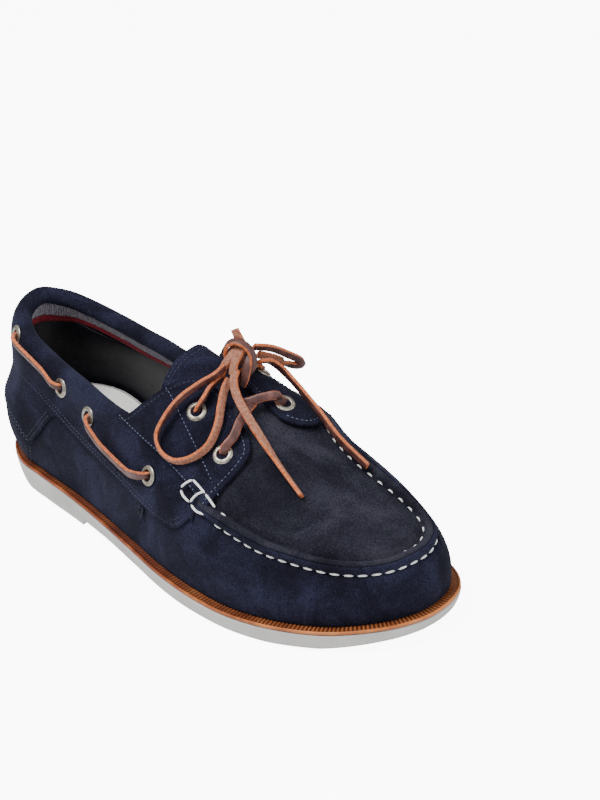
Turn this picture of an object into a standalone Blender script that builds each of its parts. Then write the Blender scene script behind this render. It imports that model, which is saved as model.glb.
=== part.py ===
"""Boat shoe for the right foot, size 43, standing empty on its sole.

Every length is in millimetres in the last's own frame: x runs from the back of the heel to the
toe, y towards the inner side of the foot, z up from the floor. The solids are moved so that the
middle of the shoe's box stands on the world origin, and written in metres.

The upper is one surface of two parameters. The station s runs from the heel (0) to the toe (1)
on either side of the foot. The rise v runs from the welt (0) over the foot to its ridge (1).
"""

import math

import bmesh
import bpy
import numpy as np
from mathutils import Matrix, Vector

MM = 0.001
SEAT = 0.3

# The plan of the sole: the distance from the heel, then the width on the outer and inner side.
OUTLINE = (
    (3, 14, 13),
    (10, 24, 22),
    (30, 35, 32),
    (50, 38, 35),
    (80, 41, 34),
    (110, 45, 31),
    (140, 50, 30),
    (170, 55, 35),
    (200, 57, 44),
    (225, 55.5, 49.5),
    (250, 48.5, 51),
    (275, 35, 46),
    (290, 19, 36.5),
    (297, 6, 25),
)
SHOE_LENGTH = 300.0
TOE_POINT_Y = 9.0
RING_POINTS = 720
RING_SMOOTHING = 6

# The top of the welt: distance from the heel, height.
WELT_TOP = ((0, 16.5), (60, 17), (110, 15.5), (150, 14), (200, 12), (260, 12), (300, 13.5))
WELT_THICKNESS = 1.7
WELT_WIDTH = 9.5

# The sole's underside: distance from the heel, height. Heel and forefoot lie on the floor.
SOLE_UNDERSIDE = (
    (0, 1.0),
    (6, 0),
    (86, 0),
    (90, 3.4),
    (110, 3.2),
    (150, 1.4),
    (182, 0),
    (246, 0),
    (270, 1.1),
    (300, 5.0),
)
HEEL_BREAST = (86.0, 90.0)
SOLE_STATIONS = 34
# The sole's side wall: share of its height, then how far it draws in from the outline.
SOLE_WALL = ((1.0, 0.2), (0.93, 0.0), (0.55, 0.9), (0.14, 2.3), (0.0, 3.6))

# The footbed: distance from the heel, its thickness over the welt, and its top edge's margin. It
# is moulded thick under the heel, where it widens upwards with the wall.
INSOLE_TOP = (
    (0, 17.6, 3.0),
    (20, 17.8, 3.4),
    (40, 16.8, 4.6),
    (60, 13.2, 5.8),
    (84, 8.4, 6.9),
    (110, 5.0, 7.4),
    (140, 3.2, 7.6),
    (300, 3.0, 7.6),
)
INSOLE_MARGIN = 7.6
INSOLE_CORE_MARGIN = WELT_WIDTH + 0.4

# The last, a row for each station: the ridge point over it, how far the upper's foot lies inside
# the sole's edge, how high and how far out the side wall heads at first, and how far the top
# reaches back towards the side before it falls. Slope is the ridge's own, carried on over the
# toe, and cant is the rise towards the inner side. The letters o and i are outer and inner side.
# Hollow is how far the wall draws in between the heel's counter and the collar, most at
# HOLLOW_RISE.
LAST_COLUMNS = (
    "station", "ridge_x", "ridge_y", "ridge_z", "slope", "cant_o", "cant_i", "margin",
    "wall_o", "wall_i", "lean_o", "lean_i", "reach_o", "reach_i", "hollow",
)
LAST = np.array((
    (0.00, 50, 0.0, 128, 0.00, 0.00, 0.00, 3.5, 30, 30, 19.0, 19.0, 0.70, 0.70, 3.2),
    (0.10, 56, 0.0, 127, 0.00, 0.00, 0.00, 3.5, 30, 30, 19.0, 18.0, 0.56, 0.56, 4.8),
    (0.20, 72, 0.0, 124, 0.00, 0.00, 0.00, 3.5, 36, 36, 10.0, 10.0, 0.55, 0.55, 2.2),
    (0.35, 112, 0.0, 117, 0.00, 0.05, 0.05, 4.0, 46, 50, 4.0, 5.0, 0.58, 0.62, 0.0),
    (0.50, 155, 0.0, 101, 0.00, 0.12, 0.24, 4.5, 41, 64, 3.0, 4.0, 0.62, 0.90, 0.0),
    (0.60, 185, 0.0, 87, 0.00, 0.16, 0.26, 5.0, 33, 55, 3.0, 3.0, 0.66, 0.97, 0.0),
    (0.70, 213, 1.5, 73, -0.10, 0.12, 0.15, 5.0, 27, 41, 3.0, 3.0, 0.72, 0.98, 0.0),
    (0.80, 237, 4.5, 62, -0.25, 0.06, 0.06, 5.0, 23, 31, 4.0, 4.0, 0.74, 0.92, 0.0),
    (0.90, 253, 7.0, 54.5, -0.36, 0.02, 0.02, 5.0, 21, 24, 4.0, 5.0, 0.74, 0.80, 0.0),
    (1.00, 259, 8.0, 52, -0.38, 0.00, 0.00, 5.0, 21, 21, 4.5, 4.5, 0.72, 0.72, 0.0),
), float)

HOLLOW_RISE = 0.36
HOLLOW_WIDTH = 0.095

# The edge that runs all round: the collar panel's lower edge behind, its rounded flap at the
# waist, and the raised toe seam in front. Station, then rise on the outer and inner side.
SEAM = np.array((
    (0.00, 0.372, 0.372),
    (0.08, 0.368, 0.368),
    (0.15, 0.355, 0.355),
    (0.24, 0.300, 0.300),
    (0.30, 0.258, 0.262),
    (0.37, 0.228, 0.235),
    (0.44, 0.221, 0.230),
    (0.50, 0.219, 0.232),
    (0.56, 0.239, 0.265),
    (0.58, 0.264, 0.300),
    (0.597, 0.322, 0.390),
    (0.610, 0.385, 0.480),
    (0.640, 0.450, 0.600),
    (0.680, 0.472, 0.690),
    (0.740, 0.475, 0.755),
    (0.800, 0.490, 0.725),
    (0.850, 0.498, 0.645),
    (0.900, 0.510, 0.550),
    (0.950, 0.532, 0.537),
    (1.000, 0.550, 0.550),
), float)

# The heel patch's lower edge, which rises to meet the collar panel.
HEEL_PATCH = (
    (0.00, 0.250),
    (0.06, 0.245),
    (0.107, 0.228),
    (0.145, 0.186),
    (0.184, 0.130),
    (0.205, 0.180),
    (0.252, 0.290),
)
HEEL_PATCH_END = 0.252

# The opening's edge: the collar, then the top and the inner edge of the wings beside the tongue.
# Station, then rise on the outer and inner side.
OPENING = np.array((
    (0.000, 0.600, 0.600),
    (0.050, 0.586, 0.570),
    (0.100, 0.568, 0.532),
    (0.150, 0.540, 0.504),
    (0.200, 0.508, 0.491),
    (0.250, 0.482, 0.482),
    (0.300, 0.466, 0.478),
    (0.350, 0.458, 0.468),
    (0.400, 0.472, 0.462),
    (0.430, 0.500, 0.478),
    (0.455, 0.600, 0.590),
    (0.475, 0.705, 0.705),
    (0.495, 0.825, 0.820),
    (0.515, 0.900, 0.890),
    (0.540, 0.928, 0.920),
    (0.600, 0.905, 0.935),
    (1.000, 0.905, 0.935),
), float)
THROAT_STATION = 0.60
COLLAR_STATION = 0.43

# The wings' front edge: rise, then station on the outer and inner side.
WING_FRONT = (
    (0.44, 0.634, 0.634),
    (0.54, 0.642, 0.645),
    (0.64, 0.652, 0.660),
    (0.76, 0.660, 0.674),
    (0.85, 0.660, 0.680),
    (0.93, 0.650, 0.676),
)

LINING_DEPTH = 2.0
PANEL_STEP = 1.8
HEEL_PATCH_STEP = 1.3
SEAM_RIDGE_HEIGHT = 2.9
SEAM_RIDGE_WIDTH = 5.0
PLUG_DROP = 0.9
COLLAR_ROLL = 0.5
COLLAR_PAD_DEPTH = 5.2
RISE_LENGTH = 95.0

# The columns of the upper's grid, from heel to toe: start, end, number of steps.
COLUMN_RUNS = (
    (0.0, 0.42, 14),
    (0.42, 0.515, 7),
    (0.515, 0.56, 2),
    (0.56, 0.60, 4),
    (0.60, 0.632, 2),
)
WING_EDGE_STATIONS = (0.648, 0.656)
TOE_COLUMN_RUN = (0.705, 1.0, 12)

# Eyelets: name, how far the flange's foot stands off the wall, then station and rise on the outer
# and on the inner side.
EYELETS = (
    ("throat_lower", 0.5, 0.622, 0.729, 0.627, 0.855),
    ("throat_upper", 0.5, 0.548, 0.775, 0.550, 0.716),
    ("collar_front", 0.5, 0.508, 0.370, 0.505, 0.385),
    ("collar_middle", 0.5, 0.340, 0.368, 0.340, 0.362),
    ("collar_rear", 0.6, 0.260, 0.409, 0.260, 0.368),
    ("collar_back", 1.1, 0.118, 0.518, 0.120, 0.440),
)
EYELET_OUTER = 5.2
EYELET_HOLE = 2.8
EYELET_CREST = 3.9
EYELET_BARREL = 3.2
EYELET_RIM = 1.1
EYELET_SEGMENTS = 12
PUNCH_RADIUS = 3.6

# The tongue: where its free edge and its hidden front end lie, and how it stands up behind.
TONGUE_FRONT = 0.665
TONGUE_SIDE_RISE = 0.64
TONGUE_CROWN_STATION = 0.456
TONGUE_OUTER_STATION = 0.466
TONGUE_INNER_STATION = 0.452
TONGUE_DEPTH = 3.3
TONGUE_FLARE = 1.2
TONGUE_FLARE_RUN = 0.055
TONGUE_THICKNESS = 1.8

LACE_WIDTH = 4.2
LACE_THICKNESS = 2.4

# The lace beside the collar runs outside the wall between these eyelets: name, eyelets, and how
# far the run sags.
SIDE_LACES = (
    ("lace_side_rear", "collar_back", "collar_rear", 0.0),
    ("lace_side_front", "collar_middle", "collar_front", 0.075),
)
# A side run's shape: distance from either end, then height over the wall.
RUN_LIFT = ((0.0, -1.9), (0.0, 2.2), (0.9, 4.3), (3.4, 5.5), (6.4, 5.2), (10.0, 4.3), (14.0, 3.8))

# The free lace's routes in millimetres: x, y and z of the strip's middle. The facing says which
# way the strip's flat side looks, and the tilt in degrees turns it round its own length.
KNOT_CENTRE = (172.0, 7.5, 107.0)
KNOT_SIZE = (7.4, 7.4, 7.8)
KNOT_STUB = ((171.5, 7.9, 109.0), (169.6, 8.0, 116.0), (168.3, 8.0, 121.5))
ROUTES = {
    "lace_loop_outer": (
        (171.5, -1.6, 104.8),
        (171.0, -8.4, 102.2),
        (169.1, -14.9, 100.3),
        (165.2, -25.7, 94.9),
        (162.8, -33.8, 87.4),
        (161.4, -39.1, 79.3),
        (165.9, -41.3, 73.2),
        (175.1, -40.6, 70.6),
        (184.2, -36.3, 73.6),
        (189.4, -29.5, 79.4),
        (187.3, -21.2, 86.4),
        (181.8, -13.8, 92.4),
        (177.6, -7.9, 96.6),
        (174.5, -2.4, 98.9),
    ),
    "lace_loop_inner": (
        (172.2, 16.4, 109.0),
        (174.7, 25.0, 105.7),
        (176.6, 33.0, 100.0),
        (177.4, 39.6, 94.4),
        (176.6, 41.2, 90.6),
        (174.6, 37.0, 91.8),
        (172.0, 27.5, 98.6),
        (171.6, 19.0, 103.6),
    ),
    "lace_end_middle": (
        (177.5, 0.2, 103.6),
        (180.3, -3.8, 101.4),
        (185.8, -7.2, 97.2),
        (194.6, -9.8, 91.8),
        (204.8, -10.3, 83.0),
        (218.2, -11.2, 73.0),
        (237.2, -13.4, 62.6),
    ),
    "lace_end_inner": (
        (179.6, 14.0, 104.4),
        (178.6, 20.5, 101.6),
        (179.2, 25.0, 97.2),
        (181.2, 27.4, 93.4),
        (190.7, 26.8, 89.4),
        (206.4, 24.5, 83.7),
        (224.9, 22.2, 74.5),
        (242.2, 24.0, 64.9),
    ),
}
FACINGS = {
    "lace_loop_outer": ((0.1, -0.72, 0.68), 40.0),
    "lace_loop_inner": ((1.0, 0.1, 0.3), 60.0),
    "lace_end_middle": ((0.45, -0.1, 0.9), 0.0),
    "lace_end_inner": ((0.3, 0.5, 0.8), 0.0),
}
# The crossing over the throat and the ties up to the knot: eyelet, side, then the route from it.
ARMS = {
    "lace_crossing_lower": (
        ("throat_lower", -1),
        ((196.6, -19.6, 82.6), (193.5, -12.3, 87.0), (190.8, -5.0, 89.6), (188.2, 0.6, 89.8)),
    ),
    "lace_crossing": (
        ("throat_lower", 1),
        ((195.4, 10.4, 92.6), (192.0, 5.0, 92.8), (188.0, -0.8, 91.4), (183.8, -5.4, 90.0)),
    ),
    "lace_tie_outer": (
        ("throat_upper", -1),
        ((173.4, -17.6, 94.6), (171.6, -12.6, 97.0), (169.8, -6.0, 98.2), (169.6, -1.4, 98.8)),
    ),
    "lace_tie_inner": (
        ("throat_upper", 1),
        ((171.8, 15.4, 99.6), (172.2, 11.6, 98.4)),
    ),
}

TAB_STATION = 0.490
TAB_SIZE = (4.2, 6.0, 0.9)


def ease(x, nodes, values):
    """A smooth curve through the table's points, level at both ends."""
    nodes = np.asarray(nodes, float)
    values = np.asarray(values, float)
    x = np.clip(x, nodes[0], nodes[-1])
    step = np.diff(nodes)
    rate = np.diff(values) / step
    slope = np.zeros_like(values)
    slope[1:-1] = (rate[:-1] * step[1:] + rate[1:] * step[:-1]) / (step[1:] + step[:-1])
    i = np.clip(np.searchsorted(nodes, x, side="right") - 1, 0, len(nodes) - 2)
    u = (x - nodes[i]) / step[i]
    start = (2 * u**3 - 3 * u**2 + 1) * values[i] + (u**3 - 2 * u**2 + u) * step[i] * slope[i]
    end = (3 * u**2 - 2 * u**3) * values[i + 1] + (u**3 - u**2) * step[i] * slope[i + 1]
    return start + end


def along_table(x, table, column=1):
    rows = np.asarray(table, float)
    return ease(x, rows[:, 0], rows[:, column])


def blend(x, low, high):
    """0 below low, 1 above high and a soft step between them."""
    u = np.clip((np.asarray(x, float) - low) / (high - low), 0, 1)
    return u * u * (3 - 2 * u)


def smooth_ring(points, count, rounds):
    """A closed curve through the points, evenly spaced, with its corners eased."""
    ends = np.vstack([points[-1:], points, points[:2]])
    pieces = []
    for i in range(1, len(ends) - 2):
        before, here, after, beyond = ends[i - 1 : i + 3]
        u = np.linspace(0, 1, 24, endpoint=False)[:, None]
        a, b, c = (math.sqrt(np.linalg.norm(q - p)) for p, q in ((before, here), (here, after), (after, beyond)))
        leave = b * ((after - here) / b - (after - before) / (a + b) + (here - before) / a)
        arrive = b * ((beyond - after) / c - (beyond - here) / (b + c) + (after - here) / b)
        start = (2 * u**3 - 3 * u**2 + 1) * here + (u**3 - 2 * u**2 + u) * leave
        pieces.append(start + (3 * u**2 - 2 * u**3) * after + (u**3 - u**2) * arrive)
    curve = np.vstack(pieces + [pieces[0][:1]])
    run = np.append(0, np.cumsum(np.linalg.norm(np.diff(curve, axis=0), axis=1)))
    even = np.linspace(0, run[-1], count, endpoint=False)
    ring = np.column_stack([np.interp(even, run, curve[:, k]) for k in (0, 1)])
    for _ in range(rounds):
        ring = (np.roll(ring, 1, 0) + 2 * ring + np.roll(ring, -1, 0)) / 4
    return ring


def outline_ring():
    outer = [(x, -wide) for x, wide, _ in OUTLINE]
    inner = [(x, wide) for x, _, wide in reversed(OUTLINE)]
    points = np.array([(0, 0)] + outer + [(SHOE_LENGTH, TOE_POINT_Y)] + inner, float)
    return smooth_ring(points, RING_POINTS, RING_SMOOTHING)


RING = outline_ring()
TOE_SHARE = RING[:, 0].argmax() / RING_POINTS
TANGENT = np.roll(RING, -1, 0) - np.roll(RING, 1, 0)
OUTWARD = np.column_stack([TANGENT[:, 1], -TANGENT[:, 0]])
OUTWARD *= np.sign(((RING - RING.mean(0)) * OUTWARD).sum())
OUTWARD /= np.linalg.norm(OUTWARD, axis=1)[:, None]


def round_share(station, side):
    """The share of the way round the outline: 0 at the heel, out along the outer side first."""
    return np.where(side < 0, station * TOE_SHARE, 1 - station * (1 - TOE_SHARE))


def ring_point(share, margin):
    """The point of the outline at this share, drawn in by the margin, and the way outwards."""
    places = np.arange(RING_POINTS + 1) / RING_POINTS
    points = np.vstack([RING, RING[:1]])
    ways = np.vstack([OUTWARD, OUTWARD[:1]])
    here = np.stack([np.interp(share, places, points[:, k]) for k in (0, 1)], -1)
    way = np.stack([np.interp(share, places, ways[:, k]) for k in (0, 1)], -1)
    way /= np.linalg.norm(way, axis=-1, keepdims=True)
    return here - way * np.asarray(margin)[..., None], way


def last_point(station, rise, side):
    """The last's surface: a cubic curve from the welt, up the side wall and over to the ridge."""
    station, rise, side = np.broadcast_arrays(*(np.asarray(a, float) for a in (station, rise, side)))
    row = {name: ease(station, LAST[:, 0], LAST[:, k]) for k, name in enumerate(LAST_COLUMNS)}
    outer = side < 0
    wall = np.where(outer, row["wall_o"], row["wall_i"])
    lean = np.where(outer, row["lean_o"], row["lean_i"])
    reach = np.where(outer, row["reach_o"], row["reach_i"])[..., None]
    plan, way = ring_point(round_share(station, side), row["margin"])
    foot = np.concatenate([plan, (along_table(plan[..., 0], WELT_TOP) + SEAT)[..., None]], -1)
    ridge = np.stack([row["ridge_x"], row["ridge_y"], row["ridge_z"]], -1)
    knee = foot + np.concatenate([way * lean[..., None], wall[..., None]], -1)
    sloped = row["ridge_z"] + row["slope"] * (plan[..., 0] - row["ridge_x"])
    cant = np.where(outer, row["cant_o"], row["cant_i"])
    sloped += cant * (plan[..., 1] - row["ridge_y"])
    over_foot = np.concatenate([plan, sloped[..., None]], -1)
    shoulder = ridge + (over_foot - ridge) * reach
    v = rise[..., None]
    curve = (1 - v) ** 3 * foot + 3 * (1 - v) ** 2 * v * knee + 3 * (1 - v) * v**2 * shoulder + v**3 * ridge
    waist = row["hollow"] * np.exp(-(((rise - HOLLOW_RISE) / HOLLOW_WIDTH) ** 2))
    return curve - np.concatenate([way, np.zeros_like(v)], -1) * waist[..., None]


def last_normal(station, rise, side):
    """The way out of the last, from two short steps along its surface."""
    small = 0.002
    rise = np.clip(rise, small, 0.985)
    station = np.asarray(station, float)
    ahead = last_point(np.clip(station + small, 0, 1), rise, side)
    behind = last_point(np.clip(station - small, 0, 1), rise, side)
    up = last_point(station, rise + small, side) - last_point(station, rise - small, side)
    way = np.cross(ahead - behind, up) * -np.asarray(side, float)[..., None]
    way /= np.linalg.norm(way, axis=-1, keepdims=True)
    return way


def by_side(x, table, side):
    """The table's value at x, from its outer or its inner column."""
    return np.where(np.asarray(side) < 0, along_table(x, table, 1), along_table(x, table, 2))


def seam_rise(station, side):
    return by_side(station, SEAM, side)


def opening_rise(station, side):
    return by_side(station, OPENING, side)


def shoe_origin():
    """The middle of the shoe's plan, which becomes the world origin."""
    station, rise = np.meshgrid(np.linspace(0, 1, 201), np.linspace(0, 0.5, 41))
    walls = np.vstack([last_point(station, rise, side).reshape(-1, 3)[:, :2] for side in (-1.0, 1.0)])
    reach = np.vstack([RING, walls])
    middle = (reach.min(0) + reach.max(0)) / 2
    return np.array([middle[0], middle[1], 0.0])


ORIGIN = shoe_origin()


def clear_scene():
    for obj in list(bpy.data.objects):
        bpy.data.objects.remove(obj, do_unlink=True)


def new_collection(name):
    collection = bpy.data.collections.new(name)
    bpy.context.scene.collection.children.link(collection)
    return collection


def make_material(name, colour, roughness, metallic=0.0):
    material = bpy.data.materials.new(name)
    material.use_nodes = True
    shader = material.node_tree.nodes["Principled BSDF"]
    shader.inputs["Base Color"].default_value = (*colour, 1)
    shader.inputs["Roughness"].default_value = roughness
    shader.inputs["Metallic"].default_value = metallic
    return material


def signed_volume(points, faces):
    total = 0.0
    for face in faces:
        for k in range(1, len(face) - 1):
            a, b, c = points[face[0]], points[face[k]], points[face[k + 1]]
            total += np.dot(a, np.cross(b, c))
    return total


def solid(name, points, faces, material, smooth=True):
    """An object from a closed mesh in millimetres, its faces pointing out."""
    points = np.asarray(points, float)
    if signed_volume(points, faces) < 0:
        faces = [tuple(reversed(face)) for face in faces]
    mesh = bpy.data.meshes.new(name)
    mesh.from_pydata([tuple(p) for p in (points - ORIGIN) * MM], [], faces)
    mesh.materials.append(material)
    if smooth:
        mesh.shade_smooth()
        mesh.set_sharp_from_angle(angle=math.radians(35))
    obj = bpy.data.objects.new(name, mesh)
    SHOE.objects.link(obj)
    return obj


def thicken(outer_faces, count):
    """Faces of a wall: the outer skin, the inner skin and the strips that close its edges."""
    faces = list(outer_faces)
    faces += [tuple(k + count for k in reversed(face)) for face in outer_faces]
    used = set()
    for face in outer_faces:
        for a, b in zip(face, face[1:] + face[:1]):
            used.add((a, b))
    for a, b in sorted(used):
        if (b, a) not in used:
            faces.append((b, a, a + count, b + count))
    return faces


def drop_unused(points, faces):
    kept = sorted({k for face in faces for k in face})
    place = {k: i for i, k in enumerate(kept)}
    return points[kept], [tuple(place[k] for k in face) for face in faces]


def upper_columns():
    """Stations of the grid's columns on one side, from heel to toe."""
    runs = [np.linspace(start, end, steps, endpoint=False) for start, end, steps in COLUMN_RUNS]
    start, end, steps = TOE_COLUMN_RUN
    toe = np.linspace(start, end, steps + 1)
    return np.concatenate(runs + [COLUMN_RUNS[-1][1:2], WING_EDGE_STATIONS, toe])


def upper_rows(station, side):
    """Rises of the rows at one station: below, on and above each edge that the wall steps at."""
    seam = float(seam_rise(station, side))
    top = float(opening_rise(station, side))
    narrow = 0.6 / RISE_LENGTH
    half_ridge = SEAM_RIDGE_WIDTH / 2 / RISE_LENGTH
    patch = float(along_table(station, HEEL_PATCH))
    patch += (0.52 * seam - patch) * float(blend(station, HEEL_PATCH_END - 0.02, HEEL_PATCH_END + 0.06))
    patch = min(patch, seam - 2 * half_ridge - 2 * narrow)
    above = seam + 2 * half_ridge
    roll = np.array((0.055, 0.034, 0.012))
    roll *= 1 + blend(station, COLLAR_STATION, COLLAR_STATION + 0.04)
    return np.array([
        0.0,
        patch / 2,
        patch - narrow,
        patch + narrow,
        seam - 2 * half_ridge,
        seam - narrow,
        seam + narrow,
        above,
        above + (top - roll[0] - above) / 3,
        above + (top - roll[0] - above) * 2 / 3,
        top - roll[0],
        top - roll[1],
        top - roll[2],
        top,
        min(top + 0.016, 0.99),
        1.0,
    ])


EDGE_ROW = 13
ROW_SEAM_LOW = 4
ROW_COUNT = 16


def outer_steps(station, behind_wing_edge):
    """How far each row stands out of the last: the panel, the heel patch, the seam and the roll."""
    step = np.zeros(ROW_COUNT)
    patch = 1 - blend(station, HEEL_PATCH_END - 0.03, HEEL_PATCH_END)
    step[3:6] = HEEL_PATCH_STEP * patch
    if behind_wing_edge:
        step[6:14] = PANEL_STEP
        if station < COLLAR_STATION + 0.03:
            collar = 1 - blend(station, COLLAR_STATION - 0.03, COLLAR_STATION + 0.03)
            step[11] += COLLAR_ROLL * collar
            step[12] += (0.2 - PANEL_STEP) * collar
            step[13] += (-2.6 - PANEL_STEP) * collar
    else:
        ridge = blend(station, 0.64, 0.69)
        step[4] = 0.3 * ridge
        step[5] = 0.85 * SEAM_RIDGE_HEIGHT * ridge
        step[6] = SEAM_RIDGE_HEIGHT * ridge
        step[7] = -PLUG_DROP * ridge
    return step


def lining_steps(station):
    """How deep each row's inner skin lies under the last: the lining, and the collar's padding."""
    depth = np.full(ROW_COUNT, LINING_DEPTH)
    collar = 1 - blend(station, COLLAR_STATION - 0.03, COLLAR_STATION + 0.03)
    depth[10] += 0.8 * collar
    depth[11] += (COLLAR_PAD_DEPTH - LINING_DEPTH) * collar
    depth[12] += (COLLAR_PAD_DEPTH + 0.4 - LINING_DEPTH) * collar
    depth[13] += (COLLAR_PAD_DEPTH - 0.6 - LINING_DEPTH) * collar
    return depth


def upper_wall(material):
    """The upper: quarters, collar panel, wings and toe plug as one hollow wall."""
    stations = upper_columns()
    last_column = len(stations) - 1
    columns = [(k, -1.0) for k in range(last_column + 1)]
    columns += [(k, 1.0) for k in range(last_column - 1, 0, -1)]
    wing_edge = list(stations).index(WING_EDGE_STATIONS[0])
    count = len(columns) * ROW_COUNT
    points = np.zeros((2 * count, 3))
    index = np.arange(count).reshape(len(columns), ROW_COUNT)
    for c, (k, side) in enumerate(columns):
        rises = upper_rows(stations[k], side)
        station = np.full(ROW_COUNT, stations[k])
        if k in (wing_edge, wing_edge + 1):
            station += by_side(rises, WING_FRONT, side) - WING_EDGE_STATIONS[0]
            station[EDGE_ROW + 1 :] = stations[k]
            station[:ROW_SEAM_LOW] = stations[k]
        out = outer_steps(stations[k], k <= wing_edge)
        surface = last_point(station, rises, side)
        way = last_normal(station, rises, np.full(ROW_COUNT, side))
        if k not in (0, last_column):
            across = way * (1, -1, 1)
            way[-1] = (way[-1] + across[-1]) / np.linalg.norm(way[-1] + across[-1])
        points[index[c]] = surface + way * out[:, None]
        points[index[c] + count] = surface - way * lining_steps(stations[k])[:, None]
        if side > 0:
            index[c, -1] = index[k, -1]
    faces = []
    for c in range(len(columns)):
        d = (c + 1) % len(columns)
        front = min(stations[columns[c][0]], stations[columns[d][0]]) >= THROAT_STATION
        for row in range(ROW_COUNT - 1 if front else EDGE_ROW):
            corners = (index[c, row], index[d, row], index[d, row + 1], index[c, row + 1])
            faces.append(tuple(int(k) for k in dict.fromkeys(corners)))
    points, faces = drop_unused(points, thicken(faces, count))
    return solid("upper", points, faces, material)


def place_on_upper(station, rise, side, lift):
    """A frame on the upper: its origin lifted off the wall, its z axis pointing out of it."""
    side = np.asarray(side, float)
    at = last_point(station, rise, side)
    way = last_normal(station, rise, side)
    along = last_point(station + 0.01, rise, side) - at
    along -= way * np.dot(along, way)
    along /= np.linalg.norm(along)
    across = np.cross(way, along)
    origin = (at + way * lift - ORIGIN) * MM
    columns = Matrix((along, across, way)).transposed().to_4x4()
    return Matrix.Translation(Vector(origin)) @ columns


def punch_holes(upper):
    """Holes for the eyelets' barrels."""
    for name, _, *places in EYELETS:
        for side, (station, rise) in ((-1, places[:2]), (1, places[2:])):
            mesh = bpy.data.meshes.new("punch")
            shape = bmesh.new()
            bmesh.ops.create_cone(
                shape,
                cap_ends=True,
                segments=12,
                radius1=PUNCH_RADIUS * MM,
                radius2=PUNCH_RADIUS * MM,
                depth=16 * MM,
            )
            shape.to_mesh(mesh)
            shape.free()
            punch = bpy.data.objects.new("punch_" + name, mesh)
            punch.matrix_world = place_on_upper(station, rise, side, 0)
            punch.hide_render = True
            punch.display_type = "WIRE"
            CUTTERS.objects.link(punch)
            cut = upper.modifiers.new("hole_" + name, "BOOLEAN")
            cut.operation = "DIFFERENCE"
            cut.object = punch


def eyelet_mesh(material):
    """A grommet turned round its own axis: a domed flange and the barrel below it."""
    profile = (
        (EYELET_HOLE, 0.3),
        (EYELET_CREST, EYELET_RIM),
        (EYELET_OUTER, 0.0),
        (EYELET_BARREL, 0.0),
        (EYELET_BARREL, -3.6),
        (EYELET_HOLE, -3.6),
    )
    shape = bmesh.new()
    turns = [2 * math.pi * k / EYELET_SEGMENTS for k in range(EYELET_SEGMENTS)]
    rings = [
        [shape.verts.new((r * math.cos(a) * MM, r * math.sin(a) * MM, z * MM)) for r, z in profile]
        for a in turns
    ]
    for k, ring in enumerate(rings):
        after = rings[(k + 1) % len(rings)]
        for p in range(len(profile)):
            q = (p + 1) % len(profile)
            shape.faces.new((ring[p], ring[q], after[q], after[p]))
    bmesh.ops.recalc_face_normals(shape, faces=shape.faces)
    mesh = bpy.data.meshes.new("eyelet")
    shape.to_mesh(mesh)
    shape.free()
    mesh.materials.append(material)
    mesh.shade_smooth()
    mesh.set_sharp_from_angle(angle=math.radians(40))
    return mesh


def eyelets(material):
    mesh = eyelet_mesh(material)
    for name, stand, *places in EYELETS:
        for side, word, (station, rise) in ((-1, "outer", places[:2]), (1, "inner", places[2:])):
            obj = bpy.data.objects.new("eyelet_" + name + "_" + word, mesh)
            obj.matrix_world = place_on_upper(station, rise, side, PANEL_STEP + stand)
            SHOE.objects.link(obj)


def sole_stations():
    """Distances from the heel, close together at the rounded ends and at the heel's front."""
    turn = np.linspace(0, math.pi, SOLE_STATIONS + 1)[1:-1]
    even = SHOE_LENGTH / 2 * (1 - np.cos(turn))
    even = even[np.abs(even - sum(HEEL_BREAST) / 2) > 5]
    return np.sort(np.concatenate([even, HEEL_BREAST]))


def sole_ring(margin, height):
    """A closed ring inside the outline: out along the outer side and back along the inner one.

    height is a function of the distance from the heel, and margin is one too or a number. The
    points of both sides lie at the same distances, so that steps run straight across.
    """
    x = sole_stations()
    toe = int(round(TOE_SHARE * RING_POINTS))
    outer = np.interp(x, RING[: toe + 1, 0], np.arange(toe + 1)) / RING_POINTS
    closed = np.vstack([RING, RING[:1]])
    back = closed[toe:][::-1]
    inner = (RING_POINTS - np.interp(x, back[:, 0], np.arange(len(back)))) / RING_POINTS
    share = np.concatenate([[0.0], outer, [TOE_SHARE], inner[::-1]])
    far = np.concatenate([[0.0], x, [SHOE_LENGTH], x[::-1]])
    margins = margin(far) if callable(margin) else np.full(len(share), margin)
    plan, _ = ring_point(share, margins)
    return np.column_stack([plan, height(far)])


def stacked_rings(name, rings, material):
    """A solid from rings one over another, its ends closed by strips from side to side."""
    size = len(rings[0])
    half = size // 2
    faces = []
    for level in range(len(rings) - 1):
        for k in range(size):
            after = (k + 1) % size
            low, high = level * size, (level + 1) * size
            faces.append((low + k, low + after, high + after, high + k))
    for base, turned in ((0, True), ((len(rings) - 1) * size, False)):
        for k in range(half):
            across = [base + k, base + k + 1, base + size - k - 1, base + (size - k) % size]
            face = tuple(dict.fromkeys(across))
            faces.append(tuple(reversed(face)) if turned else face)
    return solid(name, np.vstack(rings), faces, material)


def welt_top(x):
    return along_table(x, WELT_TOP)


def sole_top(x):
    return welt_top(x) - WELT_THICKNESS - SEAT


def sole_underside(x):
    rows = np.array(SOLE_UNDERSIDE, float)
    return np.interp(x, rows[:, 0], rows[:, 1])


def outsole(material):
    """The moulded sole: flat heel, step and raised waist, flat forefoot and sprung toe."""
    rings = []
    for share, margin in reversed(SOLE_WALL):
        def height(x, share=share):
            return sole_underside(x) + share * (sole_top(x) - sole_underside(x))
        rings.append(sole_ring(margin, height))
    return stacked_rings("outsole", rings, material)


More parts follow.
